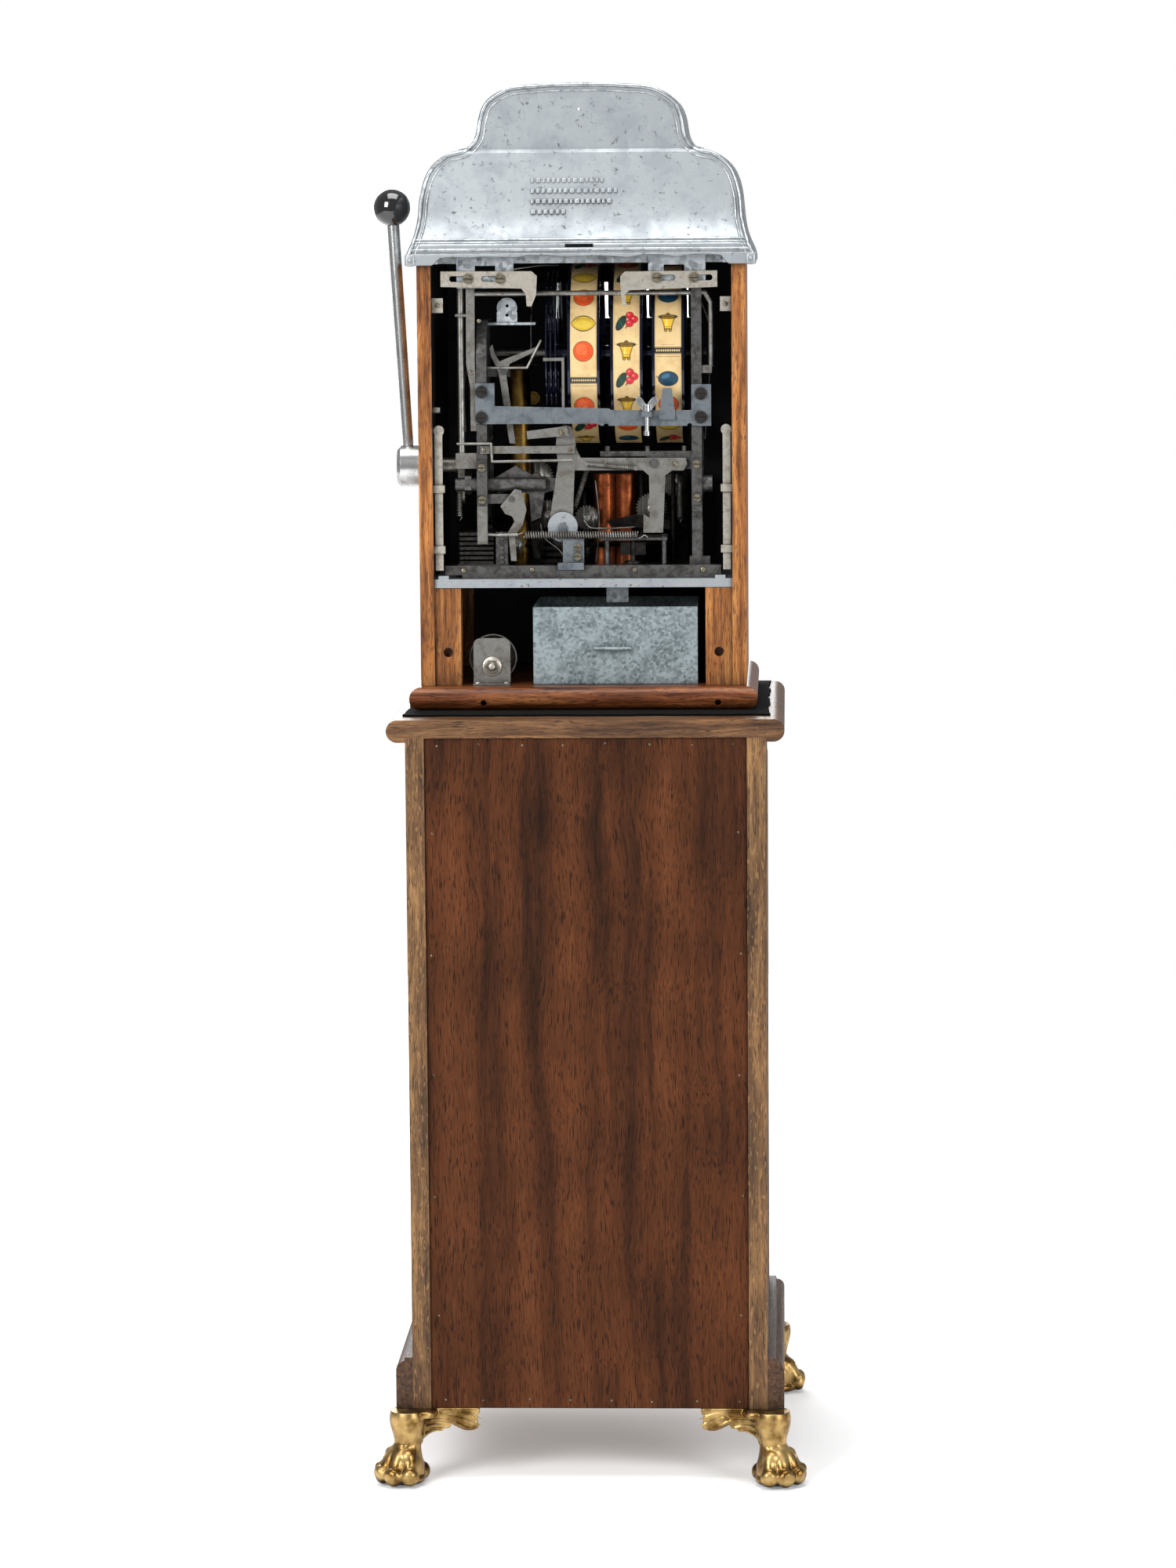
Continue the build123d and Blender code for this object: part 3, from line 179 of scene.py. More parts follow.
def capped_faces(rows: int, cols: int) -> list:
    """Faces of a tube of points numbered row by row, whose two poles are numbered after them.

    Args:
        rows: how many rows of points.
        cols: how many points in a row.

    Returns:
        Quads of the wall, then triangles at the first pole and at the last.
    """
    count = rows * cols
    near = np.arange(cols)
    after = (near + 1) % cols
    first = np.stack([np.full(cols, count), after, near], -1)
    last = np.stack([np.full(cols, count + 1), near + count - cols, after + count - cols], -1)
    return grid_faces(rows, cols, close_cols=True).tolist() + first.tolist() + last.tolist()


@dataclass
class Shape:
    """Points and faces that several surfaces are gathered into before they become one piece."""

    verts: list = field(default_factory=list)
    faces: list = field(default_factory=list)
    count: int = 0

    def take(self, verts: np.ndarray, faces: np.ndarray | list) -> None:
        """Adds one surface's points and faces."""
        self.verts.append(np.asarray(verts, float).reshape(-1, 3))
        self.faces.extend((np.asarray(f) + self.count).tolist() for f in faces)
        self.count += len(self.verts[-1])

    def piece(self, name: str, smooth: bool = True) -> bpy.types.Object:
        """Makes the gathered surfaces one object."""
        return make_mesh(name, np.concatenate(self.verts), self.faces, smooth)


def frames(path: np.ndarray, first: tuple[float, float, float]) -> tuple[np.ndarray, np.ndarray]:
    """Two directions square to a path at each of its points.

    Args:
        path: the points, one row each.
        first: a direction that the first of the two leans towards.

    Returns:
        Unit side and up directions, one row for each point.
    """
    along = np.gradient(path, axis=0)
    along /= np.linalg.norm(along, axis=1)[:, None]
    side = np.array(first) - along * (along @ np.array(first))[:, None]
    side /= np.linalg.norm(side, axis=1)[:, None] + 1e-12
    return side, np.cross(along, side)


def tube(
    shape: Shape,
    path: np.ndarray,
    radius: float | np.ndarray,
    sides: int = 12,
    first: tuple[float, float, float] = (0.31, 0.87, 0.39),
    flat: float = 1.0,
) -> None:
    """A round section carried along a path: each point plus radius times a turning direction.

    Args:
        shape: where the surface goes.
        path: the points of its middle line.
        radius: its radius, one value or one for each point.
        sides: how many points go round.
        first: the direction that the section's first axis leans towards.
        flat: the second axis over the first.
    """
    path = np.asarray(path, float)
    side, up = frames(path, first)
    turn = np.linspace(0, 2 * np.pi, sides, endpoint=False)
    size = np.broadcast_to(np.asarray(radius, float), len(path))[:, None, None]
    ring = np.cos(turn)[None, :, None] * side[:, None] + flat * np.sin(turn)[None, :, None] * up[:, None]
    rings = path[:, None] + size * ring
    ends = np.stack([path[0], path[-1]])
    shape.take(np.concatenate([rings.reshape(-1, 3), ends]), capped_faces(len(path), sides))


def turned(
    shape: Shape,
    profile: list[tuple[float, float]],
    start: tuple[float, float, float],
    axis: tuple[float, float, float],
    sides: int = 24,
) -> None:
    """A lathe shape: a profile of (distance along the axis, radius) turned about the axis.

    Args:
        shape: where the surface goes.
        profile: its points from one end to the other, closed by a pole at each end.
        start: where the axis starts.
        axis: the axis direction.
        sides: how many points go round.
    """
    way = np.array(axis, float) / np.linalg.norm(axis)
    helper = np.array((0.0, 0.0, 1.0)) if abs(way[2]) < 0.9 else np.array((1.0, 0.0, 0.0))
    side = np.cross(way, helper)
    side /= np.linalg.norm(side)
    up = np.cross(way, side)
    rows = np.array(profile, float)
    turn = np.linspace(0, 2 * np.pi, sides, endpoint=False)
    ring = np.cos(turn)[:, None] * side + np.sin(turn)[:, None] * up
    middle = np.array(start, float) + rows[:, :1] * way
    points = middle[:, None] + rows[:, 1][:, None, None] * ring[None]
    verts = np.concatenate([points.reshape(-1, 3), middle[[0, -1]]])
    shape.take(verts, capped_faces(len(rows), sides))


def pillow(
    shape: Shape,
    low: tuple[float, float, float],
    high: tuple[float, float, float],
    soft: float,
    rows: int = 12,
    cols: int = 20,
) -> None:
    """A rounded block: a sphere's directions raised to a small power, so that they near a box.

    Args:
        shape: where the surface goes.
        low: its lowest corner.
        high: its highest corner.
        soft: 1 is an ellipsoid, and 0.2 a block with small rounds.
        rows: points from pole to pole.
        cols: points round.
    """
    low, high = np.array(low, float), np.array(high, float)
    lat = np.linspace(-np.pi / 2, np.pi / 2, rows)[1:-1, None]
    lon = np.linspace(0, 2 * np.pi, cols, endpoint=False)[None, :]

    def bent(value: np.ndarray) -> np.ndarray:
        """Raises a value's size to the power and keeps its sign."""
        return np.sign(value) * np.abs(value) ** soft

    x = bent(np.cos(lat)) * bent(np.cos(lon))
    y = bent(np.cos(lat)) * bent(np.sin(lon))
    z = bent(np.sin(lat)) * np.ones_like(lon)
    ball = np.stack([x, y, z], -1).reshape(-1, 3)
    ball = np.concatenate([ball, [[0, 0, -1], [0, 0, 1]]])
    shape.take((low + high) / 2 + ball * (high - low) / 2, capped_faces(rows - 2, cols))


def slab(shape: Shape, outline: list[tuple[float, float]], d0: float, d1: float, lay: "Layout") -> None:
    """A flat plate facing the rear: an outline given across and up, between two depths.

    Args:
        shape: where the surface goes.
        outline: its corners, in the order that goes round.
        d0: the depth of its rear face.
        d1: the depth of its front face.
        lay: the machine's own coordinates.
    """
    flat = np.array(outline, float)
    n = len(flat)
    turn = np.sum(flat[:, 0] * np.roll(flat[:, 1], -1) - np.roll(flat[:, 0], -1) * flat[:, 1])
    if turn > 0:
        flat = flat[::-1]
    rows = [lay.at(flat[:, 0], np.full(n, d), flat[:, 1]) for d in (d0, d1)]
    ring = np.arange(n)
    walls = np.stack([ring, ring + n, (ring + 1) % n + n, (ring + 1) % n], -1).tolist()
    shape.take(np.concatenate(rows), walls + [ring.tolist(), (ring[::-1] + n).tolist()])


def smooth_line(points: list[tuple[float, ...]], count: int) -> np.ndarray:
    """A soft curve through chosen points, each coordinate a cubic in the length along them.

    Args:
        points: the chosen points.
        count: how many points the curve gets.

    Returns:
        The curve's points, one row each.
    """
    knots = np.array(points, float)
    if len(knots) < 3:
        return knots[0] + np.linspace(0, 1, count)[:, None] * (knots[-1] - knots[0])
    reach = np.concatenate([[0], np.cumsum(np.linalg.norm(np.diff(knots, axis=0), axis=1))])
    slope = np.gradient(knots, reach, axis=0)
    want = np.linspace(0, reach[-1], count)
    spot = np.clip(np.searchsorted(reach, want, side="right") - 1, 0, len(reach) - 2)
    step = (reach[spot + 1] - reach[spot])[:, None]
    t = (want - reach[spot])[:, None] / step
    a, b = knots[spot], knots[spot + 1]
    m, n = slope[spot] * step, slope[spot + 1] * step
    return (
        a * (2 * t**3 - 3 * t**2 + 1) + m * (t**3 - 2 * t**2 + t)
        + b * (3 * t**2 - 2 * t**3) + n * (t**3 - t**2)
    )


def coil(start: np.ndarray, end: np.ndarray, radius: float, turns: float, per_turn: int = 12) -> np.ndarray:
    """A helix's middle line: a point that circles the line from start to end as it travels.

    Args:
        start: one end of the axis.
        end: the other end.
        radius: the helix's radius.
        turns: how many turns it makes.
        per_turn: points in each turn.

    Returns:
        The points of the line.
    """
    axis = np.array(end, float) - np.array(start, float)
    way = axis / np.linalg.norm(axis)
    side = np.cross(way, (0.12, 0.3, 0.95))
    side /= np.linalg.norm(side)
    up = np.cross(way, side)
    t = np.linspace(0, 1, int(turns * per_turn))[:, None]
    angle = 2 * np.pi * turns * t
    return np.array(start) + t * axis + radius * (np.cos(angle) * side + np.sin(angle) * up)


# ---- Frame ----------------------------------------------------------------------------------
@dataclass(frozen=True)
class Layout:
    """The machine's own coordinates: across from its middle, depth from the rear, height above the shelf."""

    middle: float
    rear: float
    shelf: float

    @classmethod
    def read(cls) -> "Layout":
        """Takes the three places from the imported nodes, in millimetres."""
        low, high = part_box("case_sides")
        base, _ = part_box("mechanism_base")
        return cls((low.x + high.x) / 2 / MM, high.y / MM, base.z / MM)

    def at(self, x: float, d: float, h: float) -> np.ndarray:
        """Turns across, depth and height to the frame's own millimetres."""
        return np.stack(np.broadcast_arrays(self.middle + x, self.rear - d, self.shelf + h), -1).astype(float)


def node_box(name: str) -> tuple[np.ndarray, np.ndarray]:
    """Gives a CAD node's lowest and highest corners in millimetres."""
    low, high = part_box(name)
    return np.array(low) / MM, np.array(high) / MM


def settle(piece: bpy.types.Object, body: str, finish: bpy.types.Material) -> bpy.types.Object:
    """Dresses a new piece, gives it its body, and reports it.

    Args:
        piece: the piece.
        body: the CAD body that it rides on.
        finish: its material.

    Returns:
        The same piece.
    """
    piece.data.materials.clear()
    piece.data.materials.append(finish)
    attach(piece, body)
    LOG.info("%s rides on %s: %d faces", piece.name, body, len(piece.data.polygons))
    return piece


# ---- Finishes -------------------------------------------------------------------------------
class Grain(Enum):
    """The direction that a board's grain runs in."""

    ACROSS = 0
    DEEP = 1
    UPRIGHT = 2


@dataclass(frozen=True)
class Wood:
    """Oiled or waxed boards: streaks along the grain, fine fibres, open pores and a few knots.

    Args:
        name: the material's name.
        dark: the colour of late wood, pores and knots.
        middle: the colour between.
        light: the colour of early wood.
        grain: which way the grain runs.
        ring: the width of a streak across the grain, in millimetres.
        fibre: the spacing of fibres across the grain, in millimetres.
        gloss: the roughness of the finish.
        knots: places and half widths of knots or dark smudges, in millimetres.
        grime_and_shade: how dark the painted shade in the recesses goes, from 0 to 1.
        flake: whether a fine light fleck shows, as in quartered oak.
        lining: middle and half width across, and lowest height, of the inside that is blackened as painted shade.
        shine: the strength of its reflection.
    """

    name: str
    dark: str
    middle: str
    light: str
    grain: Grain = Grain.UPRIGHT
    ring: float = 14.0
    fibre: float = 1.1
    gloss: float = 0.45
    knots: tuple = ()
    grime_and_shade: float = 0.6
    flake: bool = False
    lining: tuple | None = None
    shine: float = 0.3

    def scale(self, across: float, along: float) -> tuple[float, float, float]:
        """Gives noise scales per metre for a size across the grain and one along it."""
        values = [1000 / across] * 3
        values[self.grain.value] = 1000 / along
        return tuple(values)

    def material(self) -> bpy.types.Material:
        """Builds the material. Wax gives a soft sheen that breaks where pores open the surface."""
        g = Graph(self.name)
        sway = g.add("TexNoise", {"Scale": 5.0, "Detail": 2.0}, {"Vector": g.where})
        bend = g.add(
            "VectorMath", {"operation": "MULTIPLY_ADD", 1: (0.03,) * 3}, {0: sway.outputs["Color"], 2: g.where}
        )
        dark_spots = None
        for x, y, z, wide in self.knots:
            reach = [wide * MM] * 3
            reach[self.grain.value] = wide * MM * 2.6
            spot = g.add("Mapping", {"Location": (-x * MM, -y * MM, -z * MM)}, {"Vector": bend})
            fit = g.add("VectorMath", {"operation": "DIVIDE", 1: tuple(reach)}, {0: spot})
            far = g.add("VectorMath", {"operation": "LENGTH"}, {0: fit})
            near = g.add(
                "MapRange",
                {"range": (0.15, 1.25, 1.0, 0.0), "interpolation_type": "SMOOTHSTEP"},
                {"Value": far.outputs["Value"]},
            )
            dark_spots = g.add("Math", {"operation": "MAXIMUM"}, {0: dark_spots, 1: near}) if dark_spots else near
        grains = []
        for across, along, detail, rough in (
            (self.ring, self.ring * 22, 6, 0.62), (self.fibre, self.fibre * 45, 3, 0.7),
            (self.fibre * 1.6, self.fibre * 16, 1, 0.5),
        ):
            lie = g.add("Mapping", {"Scale": self.scale(across, along)}, {"Vector": bend})
            grains.append(g.add("TexNoise", {"Scale": 1.0, "Detail": detail, "Roughness": rough}, {"Vector": lie}))
        streak, fibre, pore = grains
        patch = g.add("TexNoise", {"Scale": 9.0, "Detail": 3.0}, {"Vector": g.where})
        tone = g.add(
            "ValToRGB",
            {"stops": [(0.3, linear(self.dark)), (0.5, linear(self.middle)), (0.72, linear(self.light))]},
            {"Fac": streak},
        )
        lines = g.add("MapRange", {"range": (0.35, 0.62, 0.62, 1.12)}, {"Value": fibre})
        lined = g.add("MixRGB", MULTIPLY, {"Color1": tone, "Color2": lines})
        pits = g.add("MapRange", {"range": (0.34, 0.42, 0.75, 0.0)}, {"Value": pore})
        pored = g.add("MixRGB", {"Color2": linear(self.dark)}, {"Fac": pits, "Color1": lined})
        blotch = g.add("MapRange", {"range": (0.3, 0.7, 0.72, 1.18)}, {"Value": patch})
        colour = g.add("MixRGB", MULTIPLY, {"Color1": pored, "Color2": blotch})
        if dark_spots:
            depth = g.add("Math", {"operation": "MULTIPLY", 1: 0.72}, {0: dark_spots})
            colour = g.add("MixRGB", {"Color2": linear(self.dark)}, {"Fac": depth, "Color1": colour})
        if self.flake:
            fleck_map = g.add("Mapping", {"Scale": self.scale(2.2, 9.0)}, {"Vector": g.where})
            fleck = g.add("TexNoise", {"Scale": 1.0, "Detail": 0.0}, {"Vector": fleck_map})
            bright = g.add("MapRange", {"range": (0.66, 0.72, 0.0, 0.5)}, {"Value": fleck})
            colour = g.add("MixRGB", {"Color2": linear(self.light)}, {"Fac": bright, "Color1": colour})
        # Painted shade: the recesses that the occlusion finds hidden are drawn darker.
        shut = g.add("AmbientOcclusion", {"samples": 6, "Distance": 0.03})
        recess_shade = g.add("MapRange", {"range": (0.3, 0.95, 1 - self.grime_and_shade, 1.0)}, {"Value": shut.outputs["AO"]})
        final = g.add("MixRGB", MULTIPLY, {"Color1": colour, "Color2": recess_shade})
        if self.lining:
            final = self.painted(g, final)
        rough = g.add("MapRange", {"range": (0.3, 0.7, self.gloss + 0.14, self.gloss - 0.06)}, {"Value": fibre})
        height = g.add("Math", {"operation": "SUBTRACT"}, {0: lines, 1: pits})
        edge = g.add("Bevel", {"samples": 4, "Radius": 0.0012})
        bump = g.add("Bump", {"Strength": 0.22, "Distance": 0.0004}, {"Height": height, "Normal": edge})
        g.feed(Base_Color=final, Roughness=rough, Normal=bump)
        g.fix(IOR=1.5, Specular_IOR_Level=self.shine)
        return g.material

    def painted(self, g: Graph, under: bpy.types.Node) -> bpy.types.Node:
        """Blackens the faces inside a box across, as painted shade on the case's inner walls.

        Args:
            g: the material's tree.
            under: the node that holds the bare wood's colour.

        Returns:
            The node that holds the colour with its painted shade.
        """
        middle, half, floor = self.lining
        axes = g.add("SeparateXYZ", {}, {0: g.where})
        off = g.add("Math", {"operation": "SUBTRACT", 1: middle * MM}, {0: axes})
        wide = g.add("Math", {"operation": "ABSOLUTE"}, {0: off})
        inside = g.add("Math", {"operation": "LESS_THAN", 1: half * MM}, {0: wide})
        above = g.add("Math", {"operation": "GREATER_THAN", 1: floor * MM}, {0: axes.outputs[2]})
        both = g.add("Math", {"operation": "MULTIPLY"}, {0: inside, 1: above})
        # Painted shade: near-black on the inner walls.
        return g.add("MixRGB", {"Color2": linear("0D0B09")}, {"Fac": both, "Color1": under})


@dataclass(frozen=True)
class Metal:
    """Cast, rolled or plated metal: mottled tone, dark specks, painted shade in the corners, and pits.

    Args:
        name: the material's name.
        base: its clean colour.
        mottle: the colour of its duller patches.
        grime_and_shade: the colour of the dark specks of dust and rust, and of the painted shade in the corners.
        patch: the size of a patch, in millimetres.
        rough: its roughness where it is clean.
        spread: how much rougher the patches are.
        pit: the size of a pit or casting grain, in millimetres.
        relief: how strong the bump is.
        recess_shade: how dark the painted shade in the corners goes, from 0 to 1.
        specks: how much of the surface is speckled with dust and rust.
        metallic: 1 for bare metal.
        corner: how far the painted shade reaches out of a corner, in millimetres.
    """

    name: str
    base: str
    mottle: str
    grime_and_shade: str
    patch: float = 18.0
    rough: float = 0.38
    spread: float = 0.2
    pit: float = 0.9
    relief: float = 0.25
    recess_shade: float = 0.7
    specks: float = 0.3
    metallic: float = 1.0
    corner: float = 6.0

    def material(self) -> bpy.types.Material:
        """Builds the material. Handling polishes the open faces, specks of dust and rust sit on them, and painted
        shade darkens the corners.
        """
        g = Graph(self.name)
        broad = g.add(
            "TexNoise", {
                "Scale": 1000 / self.patch, "Detail": 5.0, "Roughness": 0.6, "Distortion": 0.4
            }, {"Vector": g.where}
        )
        fine = g.add("TexNoise", {"Scale": 1000 / self.pit, "Detail": 3.0, "Roughness": 0.65}, {"Vector": g.where})
        middle = g.add(
            "TexNoise", {"Scale": 1000 / (self.pit * 5), "Detail": 4.0, "Roughness": 0.7}, {"Vector": g.where}
        )
        mottled = g.add(
            "ValToRGB",
            {"stops": [(0.36, linear(self.mottle)), (0.58, linear(self.base))]},
            {"Fac": broad},
        )
        speck = g.add(
            "MapRange",
            {"range": (0.62 - 0.2 * self.specks, 0.74 - 0.2 * self.specks, 0.0, 0.85)},
            {"Value": middle},
        )
        # Painted shade: the corners that the occlusion finds hidden take the dark colour, and grow rougher and less
        # metallic.
        shut = g.add("AmbientOcclusion", {"samples": 6, "Distance": self.corner * MM})
        corner = g.add("MapRange", {"range": (0.35, 0.92, self.recess_shade, 0.0)}, {"Value": shut.outputs["AO"]})
        darkening = g.add("Math", {"operation": "MAXIMUM"}, {0: speck, 1: corner})
        darkening = g.add("Math", {"operation": "MINIMUM", 1: 0.95}, {0: darkening})
        colour = g.add("MixRGB", {"Color2": linear(self.grime_and_shade)}, {"Fac": darkening, "Color1": mottled})
        dull = g.add("MapRange", {"range": (0.35, 0.65, self.rough + self.spread, self.rough)}, {"Value": broad})
        rough = g.add("MixRGB", {"Color2": (0.72, 0.72, 0.72, 1)}, {"Fac": darkening, "Color1": dull})
        bare = g.add("MapRange", {"range": (0.0, 1.0, self.metallic, self.metallic * 0.35)}, {"Value": darkening})
        edge = g.add("Bevel", {"samples": 4, "Radius": 0.0006})
        bump = g.add("Bump", {"Strength": self.relief, "Distance": 0.0003}, {"Height": fine, "Normal": edge})
        g.feed(Base_Color=colour, Roughness=rough, Metallic=bare, Normal=bump)
        return g.material


@dataclass(frozen=True)
class Galvanised:
    """Hot-dipped zinc on sheet steel: crystals a few millimetres across, each with its own tone."""

    name: str
    dark: str
    light: str
    crystal: float
    rough: float = 0.42

    def material(self) -> bpy.types.Material:
        """Builds the material. Each crystal catches the light a little differently."""
        g = Graph(self.name)
        sway = g.add("TexNoise", {"Scale": 500 / self.crystal, "Detail": 2.0}, {"Vector": g.where})
        bent = g.add(
            "VectorMath", {"operation": "MULTIPLY_ADD", 1: (self.crystal * 0.9 * MM,) * 3}, {
                0: sway.outputs["Color"], 2: g.where
            }
        )
        cell = g.add("TexVoronoi", {"Scale": 1000 / self.crystal, "Randomness": 1.0}, {"Vector": bent})
        grey = g.add("RGBToBW", {}, {"Color": cell.outputs["Color"]})
        cloud = g.add("TexNoise", {"Scale": 28.0, "Detail": 5.0, "Roughness": 0.7}, {"Vector": g.where})
        both = g.add("Math", {"operation": "MULTIPLY_ADD", 1: 0.55}, {0: grey, 2: cloud})
        tone = g.add("ValToRGB", {"stops": [(0.5, linear(self.dark)), (0.95, linear(self.light))]}, {"Fac": both})
        # Painted shade: darker where the occlusion finds the sheet hidden.
        shut = g.add("AmbientOcclusion", {"samples": 6, "Distance": 0.012})
        shade = g.add("MapRange", {"range": (0.2, 0.9, 0.45, 1.0)}, {"Value": shut.outputs["AO"]})
        colour = g.add("MixRGB", MULTIPLY, {"Color1": tone, "Color2": shade})
        rough = g.add("MapRange", {"range": (0.0, 1.0, self.rough, self.rough + 0.22)}, {"Value": grey})
        edge = g.add("Bevel", {"samples": 4, "Radius": 0.0008})
        bump = g.add("Bump", {"Strength": 0.15, "Distance": 0.0002}, {"Height": cloud, "Normal": edge})
        g.feed(Base_Color=colour, Roughness=rough, Normal=bump)
        g.fix(Metallic=0.75)
        return g.material


@dataclass(frozen=True)
class Brass:
    """Cast brass, polished on the high places and left brown, with painted shade, where the cloth doesn't reach."""

    name: str
    bright: str
    golden: str
    patina_and_shade: str
    reach: float = 9.0

    def material(self) -> bpy.types.Material:
        """Builds the material. The polish is bright but a little uneven, and the folds are darkened partly by old
        wax and partly by painted shade.
        """
        g = Graph(self.name)
        cloud = g.add("TexNoise", {"Scale": 55.0, "Detail": 4.0}, {"Vector": g.where})
        grit = g.add("TexNoise", {"Scale": 700.0, "Detail": 3.0}, {"Vector": g.where})
        # For the cast paws, the wide gap between the two tones stands in part for painted reflections.
        tone = g.add(
            "ValToRGB", {"stops": [(0.38, linear(self.golden)), (0.62, linear(self.bright))]}, {"Fac": cloud}
        )
        # Painted shade: the folds that the occlusion finds hidden take the dark colour and a rougher finish.
        shut = g.add("AmbientOcclusion", {"samples": 8, "Distance": self.reach * MM})
        fold_shade = g.add("MapRange", {"range": (0.35, 0.85, 0.95, 0.0)}, {"Value": shut.outputs["AO"]})
        colour = g.add("MixRGB", {"Color2": linear(self.patina_and_shade)}, {"Fac": fold_shade, "Color1": tone})
        rough = g.add("MapRange", {"range": (0.3, 0.7, 0.26, 0.44)}, {"Value": cloud})
        worn = g.add("MixRGB", {"Color2": (0.6, 0.6, 0.6, 1)}, {"Fac": fold_shade, "Color1": rough})
        bump = g.add("Bump", {"Strength": 0.12, "Distance": 0.0003}, {"Height": grit})
        g.feed(Base_Color=colour, Roughness=worn, Normal=bump)
        g.fix(Metallic=1.0)
        return g.material


@dataclass(frozen=True)
class Felt:
    """Pressed black wool: short fibres that lie every way and catch a little light and dust."""

    name: str
    colour: str
    dust: str

    def material(self) -> bpy.types.Material:
        """Builds the material. The fibre is drawn at 0.8 mm, coarser than the real one, so that it shows."""
        g = Graph(self.name)
        fibre = g.add("TexNoise", {"Scale": 1250.0, "Detail": 4.0, "Roughness": 0.8}, {"Vector": g.where})
        lint = g.add("TexNoise", {"Scale": 160.0, "Detail": 4.0, "Roughness": 0.8}, {"Vector": g.where})
        dusty = g.add("MapRange", {"range": (0.55, 0.8, 0.0, 0.6)}, {"Value": lint})
        colour = g.add("MixRGB", {"Color1": linear(self.colour), "Color2": linear(self.dust)}, {"Fac": dusty})
        bump = g.add("Bump", {"Strength": 0.8, "Distance": 0.0008}, {"Height": fibre})
        g.feed(Base_Color=colour, Normal=bump)
        g.fix(Roughness=0.98, Sheen_Weight=0.02, Sheen_Roughness=0.6, Specular_IOR_Level=0.05)
        return g.material


@dataclass(frozen=True)
class Gloss:
    """A smooth moulded, lacquered or blued skin under a clear shine.

    Args:
        name: the material's name.
        colour: the colour under the shine.
        second: the colour of its cloudy patches.
        rough: the roughness of the shine.
        metallic: 1 for a blued metal.
        clear: the weight of the clear coat.
        clear_rough: the roughness of the clear coat.
    """

    name: str
    colour: str
    second: str
    rough: float
    metallic: float = 0.0
    clear: float = 0.0
    clear_rough: float = 0.04

    def material(self) -> bpy.types.Material:
        """Builds the material. Handling leaves faint smears in the shine."""
        g = Graph(self.name)
        smear = g.add("TexNoise", {"Scale": 60.0, "Detail": 4.0, "Distortion": 0.6}, {"Vector": g.where})
        tone = g.add("MixRGB", {"Color1": linear(self.colour), "Color2": linear(self.second)}, {"Fac": smear})
        rough = g.add("MapRange", {"range": (0.35, 0.7, self.rough, self.rough + 0.1)}, {"Value": smear})
        g.feed(Base_Color=tone, Roughness=rough)
        g.fix(Metallic=self.metallic, Coat_Weight=self.clear, Coat_Roughness=self.clear_rough)
        return g.material


@dataclass(frozen=True)
class Paper:
    """A varnished paper strip: inks held in the piece's own colour attribute, aged by handling."""

    name: str
    attribute: str
    stain: str

    def material(self) -> bpy.types.Material:
        """Builds the material. The varnish has yellowed in blotches and lost its shine unevenly."""
        g = Graph(self.name)
        ink = g.add("Attribute", {"attribute_name": self.attribute})
        blotch = g.add("TexNoise", {"Scale": 45.0, "Detail": 6.0, "Roughness": 0.7}, {"Vector": g.where})
        speck = g.add("TexNoise", {"Scale": 420.0, "Detail": 3.0}, {"Vector": g.where})
        old = g.add("MapRange", {"range": (0.45, 0.8, 0.0, 0.55)}, {"Value": blotch})
        dots = g.add("MapRange", {"range": (0.66, 0.76, 0.0, 0.5)}, {"Value": speck})
        marks = g.add("Math", {"operation": "MAXIMUM"}, {0: old, 1: dots})
        colour = g.add(
            "MixRGB", {"blend_type": "MULTIPLY", "Color2": linear(self.stain)},
            {"Fac": marks, "Color1": ink.outputs["Color"]},
        )
        rough = g.add("MapRange", {"range": (0.3, 0.7, 0.3, 0.5)}, {"Value": blotch})
        g.feed(Base_Color=colour, Roughness=rough)
        g.fix(Specular_IOR_Level=0.4)
        return g.material


@dataclass(frozen=True)
class Glass:
    """Old window glass: clear, a little dusty, with a faint green in its edges."""

    name: str
    tint: str

    def material(self) -> bpy.types.Material:
        """Builds the material. Dust lifts the roughness in soft patches."""
        g = Graph(self.name)
        dust = g.add("TexNoise", {"Scale": 30.0, "Detail": 5.0}, {"Vector": g.where})
        rough = g.add("MapRange", {"range": (0.4, 0.8, 0.02, 0.12)}, {"Value": dust})
        g.feed(Roughness=rough)
        g.fix(Base_Color=linear(self.tint), Transmission_Weight=1.0, IOR=1.5)
        return g.material


